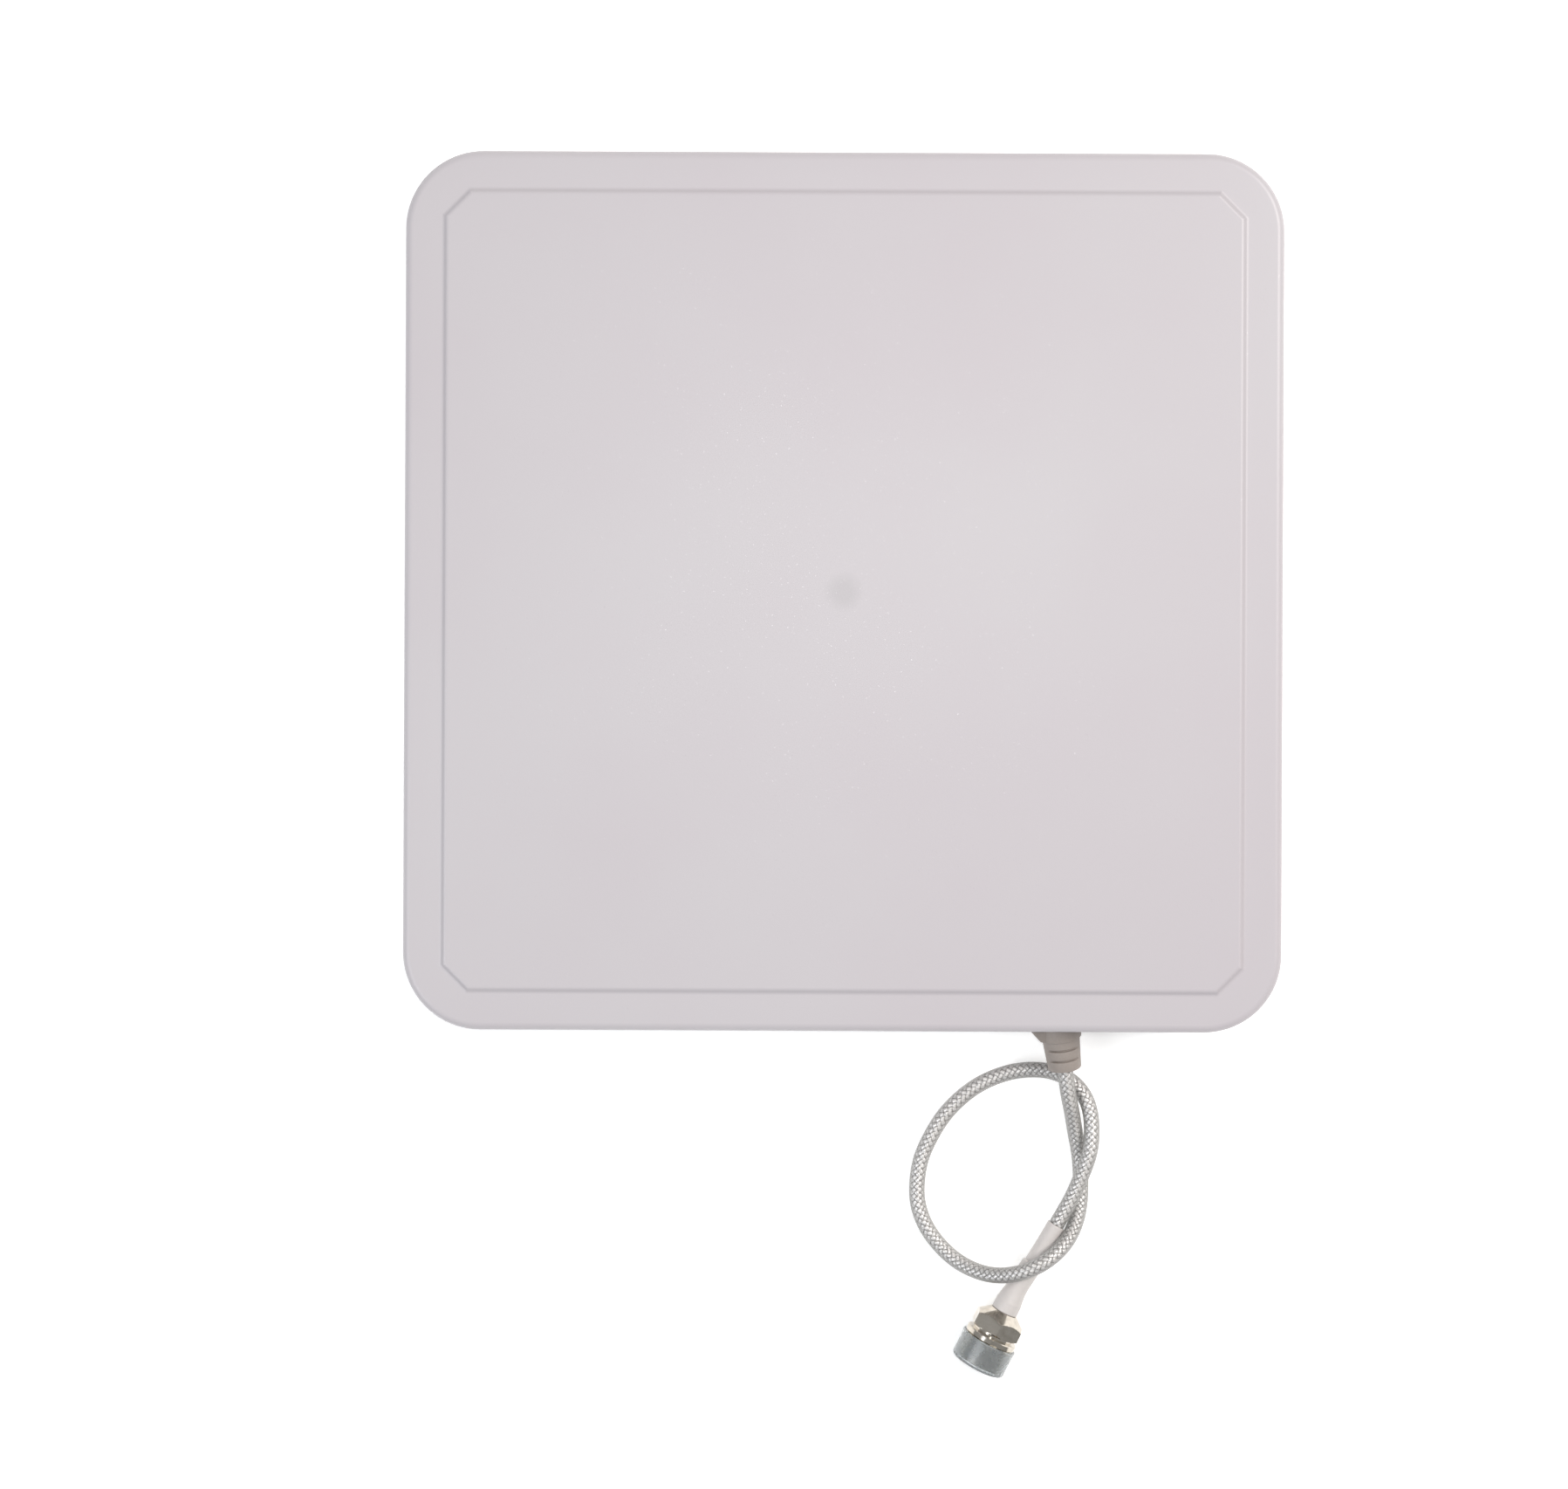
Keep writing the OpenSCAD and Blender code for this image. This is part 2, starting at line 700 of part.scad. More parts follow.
module strain_relief() {
    color("#a59b94")
    difference() {
        union() {
            // Flange inside the wall, neck in the hole and seat outside
            translate(boot_pos)
                rotate([90, 0, 0]) {
                    translate([0, 0, -wall_t - fit - boot_flange_t])
                        cylinder(r = boot_flange_r, h = boot_flange_t);
                    translate([0, 0, -wall_t - fit - 1])
                        cylinder(r = boot_hole_r, h = wall_t + 1 + fit + boot_seat_l);
                    translate([0, 0, fit]) cylinder(d = boot_d + 0.6, h = boot_seat_l);
                }
            // Lug that keys the seat to the wall
            translate([boot_pos[0], boot_pos[1] - fit, boot_pos[2] - lug_t / 2])
                linear_extrude(lug_t)
                    polygon([[-lug_w, 0], [-boot_d / 2, -lug_l], [0, -lug_l], [0, 0]]);
            // Tapered body
            along(boot_end, -boot_dir)
                difference() {
                    cylinder(d1 = boot_end_d, d2 = boot_d, h = boot_l - boot_root_l);
                    for (g = grooves)
                        translate([0, 0, g]) boot_groove(g);
                }
        }
        // Bore: it follows the cable, loose at the bend and close to it where it comes out
        translate(boot_bend) sphere(r = coax_r + 2 * bend_gap);
        translate(boot_bend) rotate([-90, 0, 0]) cylinder(r = coax_r + bend_gap, h = 3 * wall_t);
        along(boot_bend, boot_dir) cylinder(r = coax_r + bend_gap, h = boot_l / 2);
        along(boot_end, -boot_dir)
            translate([0, 0, -1]) cylinder(r = coax_r + fit, h = 1 + boot_l * 2 / 3);
    }
}

// Groove round the tapered body at a distance from its end
module boot_groove(g) {
    r = (boot_end_d + (boot_d - boot_end_d) * g / boot_l) / 2;
    difference() {
        cylinder(r = r + 2, h = groove_w);
        translate([0, 0, -1]) cylinder(r = r - groove_depth, h = groove_w + 2);
    }
}

module coax_pigtail() {
    color("#c4c0b9")
    sweep(free_route, 0, free_end, coax_r, coax_r);
}

module inner_sleeve() {
    color("#d2cfcc")
    difference() {
        sweep(free_route, sleeve_from, shrink_from, sleeve_d / 2, sleeve_d / 2);
        sweep(free_route, sleeve_from - 1, shrink_from + 1, coax_r + fit, coax_r + fit);
    }
}

module outer_sleeve() {
    color("#cdc8c6")
    difference() {
        sweep(free_route, shrink_from, free_end, shrink_d / 2, shrink_end_d / 2);
        sweep(free_route, shrink_from - 1, free_end, coax_r + fit, coax_r + fit);
        along(jack_pos, -jack_dir)
            translate([0, 0, -1]) cylinder(r = ferrule_r + fit, h = ferrule_l + 1 + fit);
    }
}

module crimp_ferrule() {
    color("#bdb6aa")
    along(jack_pos, -jack_dir)
        tube(ferrule_r, ferrule_bore_r, 0, ferrule_l);
}

// ---- Jack ----

module jack_body() {
    color("#b8ada0")
    along(jack_pos, jack_dir)
        difference() {
            union() {
                intersection() {
                    cylinder(d = hex_w / cos(30), h = hex_l, $fn = 6);
                    rotate_extrude()
                        polygon([[0, 0], [hex_rear_r, 0], [hex_out_r, hex_rear_l],
                                 [hex_out_r, hex_l - hex_front_l], [hex_front_r, hex_l],
                                 [0, hex_l]]);
                }
                cylinder(r = neck_r, h = collar_z + eps);
                translate([0, 0, collar_z]) cylinder(d = collar_d, h = collar_l);
                translate([0, 0, thread_z - eps])
                    cylinder(d = thread_d, h = thread_l - thread_chamfer);
                translate([0, 0, jack_l - thread_chamfer - eps])
                    cylinder(d1 = thread_d, d2 = thread_d - 2 * thread_chamfer,
                             h = thread_chamfer + eps);
            }
            translate([0, 0, -1]) cylinder(r = wire_r + fit, h = jack_l);
            translate([0, 0, insulator_z]) cylinder(r = insulator_r + fit, h = jack_l);
            translate([0, 0, socket_z]) cylinder(d = socket_d, h = jack_l);
        }
}

module jack_insulator() {
    color("#f1efe9")
    along(jack_pos, jack_dir)
        tube(insulator_r, contact_r + fit, insulator_z, socket_z - insulator_z);
}

module jack_contact() {
    color("#d6b25a")
    along(jack_pos, jack_dir)
        difference() {
            union() {
                translate([0, 0, insulator_z + 2 * fit])
                    cylinder(r = contact_r, h = socket_z - insulator_z - 2 * fit + eps);
                translate([0, 0, socket_z]) cylinder(r = socket_contact_r, h = contact_l);
            }
            translate([0, 0, socket_z + contact_l - contact_bore_l])
                cylinder(r = contact_bore_r, h = contact_l);
        }
}

// Dust cap, pulled off along the jack's axis
module dust_cap() {
    color("#9aa0a4")
    along(jack_pos, jack_dir)
        translate([0, 0, cap_rim_z])
            difference() {
                union() {
                    cylinder(r = cap_r, h = cap_l - cap_chamfer);
                    translate([0, 0, cap_l - cap_chamfer])
                        cylinder(r1 = cap_r, r2 = cap_r - cap_chamfer, h = cap_chamfer);
                }
                translate([0, 0, -1]) cylinder(r = cap_r - cap_t, h = cap_l - cap_end_t + 1);
            }
}

radome();
ground_plate();
plate_gasket();
cover_screws();
mounting_nuts();
base_screws();
centre_post();
patch_standoffs();
driven_patch();
patch_screws();
patch_spacer();
parasitic_patch();
centre_screw();
feed_board();
coupler_tracks();
feed_probes();
termination_resistor();
small_screws();
cable_saddle();
inner_coax();
core_insulator();
centre_conductor();
strain_relief();
coax_pigtail();
inner_sleeve();
outer_sleeve();
crimp_ferrule();
jack_body();
jack_insulator();
jack_contact();
dust_cap();
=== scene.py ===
"""UHF panel antenna of a shop security gate, with its braided pigtail, jack and dust cap.

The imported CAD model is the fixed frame. The radome, the cable and everything on it are
modelled again here in detail, and every other CAD node keeps its shape and gets a finish.
Shapes are modelled in millimetres and turned to metres when a piece is made.
"""
import logging
from dataclasses import dataclass
from enum import Enum
from math import cos, exp, hypot, pi, radians, sin
from typing import Callable, Iterable, Optional, Sequence, Union

import bmesh
import bpy
import numpy as np
from mathutils import Matrix, Vector


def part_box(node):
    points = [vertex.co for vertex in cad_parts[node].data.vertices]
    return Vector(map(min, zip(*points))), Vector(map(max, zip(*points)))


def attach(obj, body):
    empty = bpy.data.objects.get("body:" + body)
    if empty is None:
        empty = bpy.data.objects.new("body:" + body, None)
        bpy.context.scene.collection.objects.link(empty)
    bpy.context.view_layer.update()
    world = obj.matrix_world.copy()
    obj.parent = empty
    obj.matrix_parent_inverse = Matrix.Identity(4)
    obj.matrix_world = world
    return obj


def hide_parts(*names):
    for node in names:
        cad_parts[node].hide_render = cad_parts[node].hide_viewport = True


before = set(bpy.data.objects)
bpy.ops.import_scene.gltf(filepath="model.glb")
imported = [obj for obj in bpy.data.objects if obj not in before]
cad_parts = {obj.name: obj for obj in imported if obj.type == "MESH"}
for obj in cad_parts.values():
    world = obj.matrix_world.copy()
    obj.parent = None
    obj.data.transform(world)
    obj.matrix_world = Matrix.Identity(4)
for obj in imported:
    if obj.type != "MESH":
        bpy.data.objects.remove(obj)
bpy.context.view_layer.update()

log = logging.getLogger("antenna")

MM = 0.001
# Points nearer than this are one, and an edge that turns more than this is sharp
MERGE = 1e-4
SHARP = radians(28)
Point = tuple[float, float, float]
Profile = Sequence[tuple[float, float]]
Setting = Union[float, int, str, bool, Sequence[float], bpy.types.NodeSocket]


class Body(str, Enum):
    """Bodies of the frame."""

    PANEL = "panel"
    CAP = "dust_cap"


# ---- Materials ----


def linear(hex_colour: str) -> tuple[float, float, float, float]:
    """Turn an sRGB colour to the linear colour that a shader takes.

    Args:
        hex_colour: The colour as "#rrggbb".

    Returns:
        Linear red, green and blue with an alpha of 1.
    """
    parts = [int(hex_colour[i:i + 2], 16) / 255 for i in (1, 3, 5)]
    red, green, blue = (p / 12.92 if p <= 0.04045 else ((p + 0.055) / 1.055) ** 2.4 for p in parts)
    return red, green, blue, 1.0


def add_node(
    tree: bpy.types.NodeTree,
    kind: str,
    inputs: Optional[dict[Union[str, int], Setting]] = None,
    **settings: Setting,
) -> bpy.types.Node:
    """Add a shader node with its settings, values and links.

    Args:
        tree: The tree that takes the node.
        kind: The node's type without its "ShaderNode" prefix.
        inputs: A value or a linked socket for each input, by name or by index.
        settings: The node's own properties.

    Returns:
        The new node.
    """
    node = tree.nodes.new("ShaderNode" + kind)
    for name, value in settings.items():
        setattr(node, name, value)
    for key, value in (inputs or {}).items():
        if isinstance(value, bpy.types.NodeSocket):
            tree.links.new(value, node.inputs[key])
        else:
            node.inputs[key].default_value = value
    return node


@dataclass(frozen=True)
class Finish:
    """A surface: what it is made of and how it was made.

    Its colour drifts between two tones over a grain, and the same grain moves its
    roughness and stands in relief. Sizes are in millimetres.
    """

    name: str
    colour: str
    tone: str
    roughness: float
    swing: float = 0.06
    metallic: float = 0.0
    ior: float = 1.5
    grain: float = 2.0
    stretch: Point = (1.0, 1.0, 1.0)
    relief: float = 0.01

    def material(self) -> bpy.types.Material:
        """Build the finish as a node material.

        Returns:
            The material.
        """
        made = bpy.data.materials.new(self.name)
        made.use_nodes = True
        tree = made.node_tree
        tree.nodes.clear()
        place = add_node(tree, "TexCoord").outputs["Object"]
        surface = self.surface(tree, place)
        add_node(tree, "OutputMaterial", {"Surface": surface})
        return made

    def surface(self, tree: bpy.types.NodeTree, place: bpy.types.NodeSocket) -> bpy.types.NodeSocket:
        """Add the nodes of the surface.

        Args:
            tree: The material's tree.
            place: Object coordinates.

        Returns:
            The shader's socket.
        """
        grain, colour, rough = self.drift(tree, place)
        bump = add_node(tree, "Bump", {"Height": grain, "Distance": self.relief * MM, "Strength": 1.0})
        return self.principled(tree, colour, rough, bump.outputs[0])

    def drift(
        self, tree: bpy.types.NodeTree, place: bpy.types.NodeSocket,
    ) -> tuple[bpy.types.NodeSocket, bpy.types.NodeSocket, bpy.types.NodeSocket]:
        """Let the colour and the roughness drift over the grain.

        Args:
            tree: The material's tree.
            place: The coordinates that the grain follows.

        Returns:
            The sockets of the grain, the colour and the roughness.
        """
        grain = self.pattern(tree, place, self.grain, self.stretch)
        colour = self.blend(tree, grain, self.colour, self.tone)
        rough = self.span(tree, grain, self.roughness - self.swing, self.roughness + self.swing)
        return grain, colour, rough

    def pattern(
        self, tree: bpy.types.NodeTree, place: bpy.types.NodeSocket, size: float,
        stretch: Point = (1.0, 1.0, 1.0),
    ) -> bpy.types.NodeSocket:
        """Add fractal noise whose features are about one size across.

        Args:
            tree: The material's tree.
            place: The coordinates that it follows.
            size: Size of a feature in millimetres.
            stretch: How much longer a feature is along each axis.

        Returns:
            The noise's socket, from 0 to 1.
        """
        stretched = add_node(tree, "Mapping", {"Vector": place, "Scale": [1 / s for s in stretch]})
        noise = add_node(tree, "TexNoise", {
            "Vector": stretched.outputs[0], "Scale": 1 / (size * MM), "Detail": 3.0})
        return noise.outputs[0]

    def blend(
        self, tree: bpy.types.NodeTree, share: bpy.types.NodeSocket,
        first: Union[str, bpy.types.NodeSocket], second: str,
    ) -> bpy.types.NodeSocket:
        """Mix two colours by a share.

        Args:
            tree: The material's tree.
            share: Share of the second colour.
            first: The first colour, in hex or as a socket.
            second: The second colour in hex.

        Returns:
            The colour's socket.
        """
        start = linear(first) if isinstance(first, str) else first
        mixed = add_node(tree, "Mix", {0: share, 6: start, 7: linear(second)}, data_type="RGBA")
        return mixed.outputs[2]

    def span(
        self, tree: bpy.types.NodeTree, value: bpy.types.NodeSocket, low: float, high: float,
        start: float = 0.0, end: float = 1.0,
    ) -> bpy.types.NodeSocket:
        """Map a value from one span to another, held at both ends.

        Args:
            tree: The material's tree.
            value: The value that is mapped.
            low: Result at the start.
            high: Result at the end.
            start: Value that gives the low result.
            end: Value that gives the high result.

        Returns:
            The result's socket.
        """
        return add_node(tree, "MapRange", {
            "Value": value, "From Min": start, "From Max": end, "To Min": low, "To Max": high}).outputs[0]

    def principled(
        self, tree: bpy.types.NodeTree, colour: bpy.types.NodeSocket, rough: bpy.types.NodeSocket,
        normal: bpy.types.NodeSocket, **more: float,
    ) -> bpy.types.NodeSocket:
        """Add the principled shader.

        Args:
            tree: The material's tree.
            colour: Base colour.
            rough: Roughness.
            normal: Normal with its relief.
            more: Further constants, by the socket's name with _ for a space.

        Returns:
            The shader's socket.
        """
        extra = {name.replace("_", " "): value for name, value in more.items()}
        return add_node(tree, "BsdfPrincipled", {
            "Base Color": colour, "Roughness": rough, "Normal": normal,
            "Metallic": self.metallic, "IOR": self.ior, **extra}).outputs[0]


@dataclass(frozen=True)
class MouldedAbs(Finish):
    """Pale ABS from a spark-eroded mould.

    The fine texture gives a soft sheen with scattered glints, a faint mottle shows over
    the wide face, the foot of the sides is darker, and the gate leaves a small grey spot.
    """

    mottle_size: float = 90.0
    mottle_span: tuple[float, float] = (0.35, 0.75)
    # The sides darken to this colour towards their foot, by this share and over this height
    foot_darkening: str = "#aca4a1"
    foot_darkening_share: float = 0.5
    foot_darkening_h: float = 5.0
    gate_tone: str = "#adaaac"
    gate_share: float = 0.5
    gate_r: float = 5.8
    gate_fade: tuple[float, float] = (-2.5, 1.5)
    gate_ragged: float = 2.0
    gate_ragged_size: float = 3.0
    glint_size: float = 0.3
    glint_share: float = 0.012
    glint_rough: float = 0.7
    glint_tilt: float = 0.1

    def surface(self, tree: bpy.types.NodeTree, place: bpy.types.NodeSocket) -> bpy.types.NodeSocket:
        """Add the mottle, the darker foot, the gate's spot, the texture and its glints.

        Args:
            tree: The material's tree.
            place: Object coordinates.

        Returns:
            The shader's socket.
        """
        wide = self.pattern(tree, place, self.mottle_size)
        patch = self.span(tree, wide, 0.0, 1.0, *self.mottle_span)
        colour = self.blend(tree, patch, self.colour, self.tone)

        # The colour darkens towards the foot of the sides
        axes = add_node(tree, "SeparateXYZ", {0: place})
        foot = self.span(tree, axes.outputs[2], self.foot_darkening_share, 0.0, 0.0, self.foot_darkening_h * MM)
        colour = self.blend(tree, foot, colour, self.foot_darkening)

        flat = add_node(tree, "CombineXYZ", {0: axes.outputs[0], 1: axes.outputs[1]})
        reach = add_node(tree, "VectorMath", {0: flat.outputs[0]}, operation="LENGTH")
        ragged = self.pattern(tree, place, self.gate_ragged_size)
        edge = add_node(tree, "Math", {0: ragged, 1: self.gate_ragged * MM, 2: reach.outputs[1]},
                        operation="MULTIPLY_ADD")
        full, gone = ((self.gate_r + fade) * MM for fade in self.gate_fade)
        spot = self.span(tree, edge.outputs[0], self.gate_share, 0.0, full, gone)
        colour = self.blend(tree, spot, colour, self.gate_tone)

        texture = self.pattern(tree, place, self.grain, self.stretch)
        bump = add_node(tree, "Bump", {"Height": texture, "Distance": self.relief * MM, "Strength": 1.0})
        cells = add_node(tree, "TexVoronoi", {"Vector": place, "Scale": 1 / (self.glint_size * MM)})
        chance = add_node(tree, "SeparateColor", {0: cells.outputs["Color"]})
        glint = add_node(
            tree, "Math", {0: chance.outputs[0], 1: 1 - self.glint_share}, operation="GREATER_THAN")
        ways = add_node(tree, "CombineXYZ", {0: chance.outputs[1], 1: chance.outputs[2], 2: 0.5})
        lean = add_node(tree, "VectorMath", {0: ways.outputs[0], 1: (0.5, 0.5, 0.5)}, operation="SUBTRACT")
        amount = add_node(tree, "Math", {0: glint.outputs[0], 1: self.glint_tilt}, operation="MULTIPLY")
        tilt = add_node(tree, "VectorMath", {0: lean.outputs[0], "Scale": amount.outputs[0]},
                        operation="SCALE")
        normal = add_node(tree, "VectorMath", {0: bump.outputs[0], 1: tilt.outputs[0]}, operation="ADD")
        smooth = add_node(tree, "VectorMath", {0: normal.outputs[0]}, operation="NORMALIZE")
        rough = self.span(tree, glint.outputs[0], self.roughness, self.roughness * self.glint_rough)
        return self.principled(tree, colour, rough, smooth.outputs[0])


@dataclass(frozen=True)
class TinnedBraid(Finish):
    """Tinned copper wires laid side by side in each strand of the braid.

    Each strand shines where it comes to the top, and painted shade makes it grey where it
    dips under the next, so the cable shows rows of short bright spots. Its wires are drawn
    as coarse as they need to be to show.
    """

    wires: int = 6
    wire_relief: float = 0.04
    crests: float = 140.0
    painted_dip_shade: str = "#827e7b"
    top_from: float = -0.25
    full_from: float = 0.9

    def surface(self, tree: bpy.types.NodeTree, place: bpy.types.NodeSocket) -> bpy.types.NodeSocket:
        """Add the wires, painted shade where each strand dips, from its UV map, and a dull tarnish.

        Args:
            tree: The material's tree.
            place: Object coordinates.

        Returns:
            The shader's socket.
        """
        strand = add_node(tree, "SeparateXYZ", {0: add_node(tree, "TexCoord").outputs["UV"]})
        ridge = self.wave(tree, strand.outputs[1], 2.0 * self.wires, 0.0)
        top = self.wave(tree, strand.outputs[0], self.crests, self.top_from)
        _, colour, rough = self.drift(tree, place)
        # Painted shade: each strand turns grey where it dips under the next
        colour = self.blend(tree, self.span(tree, top, 1.0, 0.0), colour, self.painted_dip_shade)
        bump = add_node(tree, "Bump", {
            "Height": ridge, "Distance": self.wire_relief * MM, "Strength": 1.0})
        return self.principled(tree, colour, rough, bump.outputs[0])

    def wave(self, tree: bpy.types.NodeTree, value: bpy.types.NodeSocket, count: float,
             low: float) -> bpy.types.NodeSocket:
        """Turn a share to a wave from 0 to 1 with so many crests, flat below a low and at the top.

        Args:
            tree: The material's tree.
            value: The share, from 0 to 1.
            count: How many crests there are.
            low: Height of the cosine below which the wave is flat.

        Returns:
            The wave's socket.
        """
        phase = add_node(tree, "Math", {0: value, 1: 2 * pi * count}, operation="MULTIPLY")
        height = add_node(tree, "Math", {0: phase.outputs[0]}, operation="COSINE")
        return self.span(tree, height.outputs[0], 0.0, 1.0, low, self.full_from)


@dataclass(frozen=True)
class ClearJacket(Finish):
    """Clear extruded jacket over the braid.

    It is seen through from the front and turns glossy towards its edges, where its grey is a
    painted reflection of dark surroundings.
    """

    face_share: float = 0.02
    edge_share: float = 0.88
    facing_blend: float = 0.35
    facing_span: tuple[float, float] = (0.14, 0.42)

    def surface(self, tree: bpy.types.NodeTree, place: bpy.types.NodeSocket) -> bpy.types.NodeSocket:
        """Mix a glossy film with clear, by how far the surface turns away.

        Args:
            tree: The material's tree.
            place: Object coordinates.

        Returns:
            The shader's socket.
        """
        # Towards the edges the grey film is a painted reflection of dark surroundings
        film = super().surface(tree, place)
        facing = add_node(tree, "LayerWeight", {"Blend": self.facing_blend}).outputs["Facing"]
        share = self.span(tree, facing, self.face_share, self.edge_share, *self.facing_span)
        clear = add_node(tree, "BsdfTransparent").outputs[0]
        return add_node(tree, "MixShader", {0: share, 1: clear, 2: film}).outputs[0]


@dataclass(frozen=True)
class TurnedNickel(Finish):
    """Nickel-plated brass off the lathe.

    Fine tool rings run round the jack's axis and the plating leaves a warm, bright silver.
    The rings are drawn as coarse as they need to be to show.
    """

    axis_place: Point = (0.0, 0.0, 0.0)
    axis_turn: float = 0.0
    ring: float = 0.16

    def surface(self, tree: bpy.types.NodeTree, place: bpy.types.NodeSocket) -> bpy.types.NodeSocket:
        """Add the tool rings across the axis and blotches in the plating.

        Args:
            tree: The material's tree.
            place: Object coordinates.

        Returns:
            The shader's socket.
        """
        local = add_node(tree, "Mapping", {
            "Vector": place, "Location": self.axis_place, "Rotation": (0.0, 0.0, self.axis_turn)},
            vector_type="TEXTURE")
        along = add_node(tree, "SeparateXYZ", {0: local.outputs[0]}).outputs[0]
        line = add_node(tree, "CombineXYZ", {0: along})
        rings = add_node(tree, "TexNoise", {
            "Vector": line.outputs[0], "Scale": 1 / (self.ring * MM), "Detail": 2.0})
        _, colour, rough = self.drift(tree, place)
        bump = add_node(tree, "Bump", {
            "Height": rings.outputs[0], "Distance": self.relief * MM, "Strength": 1.0})
        return self.principled(tree, colour, rough, bump.outputs[0])


@dataclass(frozen=True)
class MilkyPolyethylene(Finish):
    """Soft polyethylene of the dust cap, thin enough to let the thread show.

    It is cloudy and slightly blue, with a waxy sheen.
    """

    clear: float = 0.82

    def surface(self, tree: bpy.types.NodeTree, place: bpy.types.NodeSocket) -> bpy.types.NodeSocket:
        """Add the cloudy, half-clear wall.

        Args:
            tree: The material's tree.
            place: Object coordinates.

        Returns:
            The shader's socket.
        """
        cloud, colour, rough = self.drift(tree, place)
        bump = add_node(tree, "Bump", {"Height": cloud, "Distance": self.relief * MM, "Strength": 1.0})
        return self.principled(tree, colour, rough, bump.outputs[0], Transmission_Weight=self.clear)


@dataclass(frozen=True)
class LitAcrylic(Finish):
    """Opal acrylic of a light table.

    It glows evenly, so the ground stays white and the shadows stay faint.
    """

    glow: float = 0.45

    def surface(self, tree: bpy.types.NodeTree, place: bpy.types.NodeSocket) -> bpy.types.NodeSocket:
        """Add the even glow to the plain finish.

        Args:
            tree: The material's tree.
            place: Object coordinates.

        Returns:
            The shader's socket.
        """
        lit = add_node(tree, "Emission", {"Color": linear(self.colour), "Strength": self.glow})
        return add_node(tree, "AddShader", {0: super().surface(tree, place), 1: lit.outputs[0]}).outputs[0]


# ---- Mesh work ----


def new_part(made: dict, kind: type) -> list:
    """Pick the elements of one kind out of an operator's result."""
    return [g for g in made["geom"] if isinstance(g, kind)]


def square_loop(
    bm: bmesh.types.BMesh, width: float, corner: float, steps: int, z: float, cut: bool = False,
) -> list[bmesh.types.BMEdge]:
    """Add a square loop of edges with its corners rounded or cut off.

    Args:
        bm: The mesh.
        width: Side of the square.
        corner: How far from each corner the rounding or cut starts.
        steps: Steps of each corner. A cut has as many, so that any two loops can be bridged.
        z: Height of the loop.
        cut: Whether the corners are cut straight.

    Returns:
        The loop's edges.
    """
    slanted = 1e-3
    old = set(bm.edges)
    made = bmesh.ops.create_grid(
        bm, x_segments=1, y_segments=1, size=width / 2, matrix=Matrix.Translation((0, 0, z)))
    bmesh.ops.bevel(bm, geom=made["verts"], offset=corner, offset_type="OFFSET",
                    segments=1 if cut else steps, profile=0.5, affect="VERTICES", material=-1)
    loop = [e for e in bm.edges if e not in old]
    bmesh.ops.delete(bm, geom=loop[0].link_faces[:], context="FACES_ONLY")
    if cut:
        spans = [(e, e.verts[0].co - e.verts[1].co) for e in loop]
        corners = [e for e, d in spans if abs(d.x * d.y) > slanted]
        bmesh.ops.subdivide_edges(bm, edges=corners, cuts=steps - 1)
        loop = [e for e in bm.edges if e not in old]
    return loop


def open_face(bm: bmesh.types.BMesh, face: bmesh.types.BMFace) -> list[bmesh.types.BMEdge]:
    """Take a face away and return the loop of edges round the hole.

    Args:
        bm: The mesh.
        face: The face.

    Returns:
        The loop of edges.
    """
    loop = list(face.edges)
    bmesh.ops.delete(bm, geom=[face], context="FACES_ONLY")
    return loop


def loft(bm: bmesh.types.BMesh, loops: Sequence[list[bmesh.types.BMEdge]]) -> None:
    """Join each loop of edges to the next, and fill between two unlike loops in one plane.

    The bridge finds which way two loops wind from how they lie, so each is lifted a little
    off the last while it is joined.

    Args:
        bm: The mesh.
        loops: The loops of edges, in order.
    """
    lift = 0.01
    for first, second in zip(loops, loops[1:]):
        if len(first) == len(second):
            verts = list({v for e in second for v in e.verts})
            bmesh.ops.translate(bm, verts=verts, vec=(0.0, 0.0, lift))
            bmesh.ops.bridge_loops(bm, edges=first + second)
            bmesh.ops.translate(bm, verts=verts, vec=(0.0, 0.0, -lift))
        else:
            bmesh.ops.triangle_fill(bm, edges=first + second, use_beauty=True)


def turned(bm: bmesh.types.BMesh, profile: Profile, steps: int, place: Matrix) -> list[bmesh.types.BMVert]:
    """Turn a profile round an axis, as a lathe does.

    Args:
        bm: The mesh.
        profile: Radius and height of each point, in order.
        steps: Steps round the axis.
        place: Turns and moves the Z axis to where the shape lies.

    Returns:
        The shape's vertices.
    """
    old = set(bm.verts)
    line = [bm.verts.new((r, 0.0, z)) for r, z in profile]
    edges = [bm.edges.new(pair) for pair in zip(line, line[1:])]
    bmesh.ops.spin(bm, geom=line + edges, cent=(0, 0, 0), axis=(0, 0, 1), angle=2 * pi, steps=steps,
                   use_merge=True, use_normal_flip=False, use_duplicate=False)
    verts = [v for v in bm.verts if v not in old]
    bmesh.ops.remove_doubles(bm, verts=verts, dist=MERGE)
    verts = [v for v in bm.verts if v not in old]
    bmesh.ops.transform(bm, matrix=place, verts=verts)
    return verts


def soften(bm: bmesh.types.BMesh, verts: Iterable[bmesh.types.BMVert], radius: float, steps: int) -> None:
    """Round the sharp edges between some vertices.

    Args:
        bm: The mesh.
        verts: Vertices whose edges are rounded.
        radius: Radius of the rounding.
        steps: Steps of the rounding.
    """
    inside = set(verts)
    sharp = [e for e in bm.edges if e.verts[0] in inside and e.verts[1] in inside
             and len(e.link_faces) == 2 and e.calc_face_angle(0.0) > SHARP]
    bmesh.ops.bevel(bm, geom=sharp, offset=radius, offset_type="OFFSET", segments=steps, profile=0.5,
                    affect="EDGES", clamp_overlap=True, material=-1)


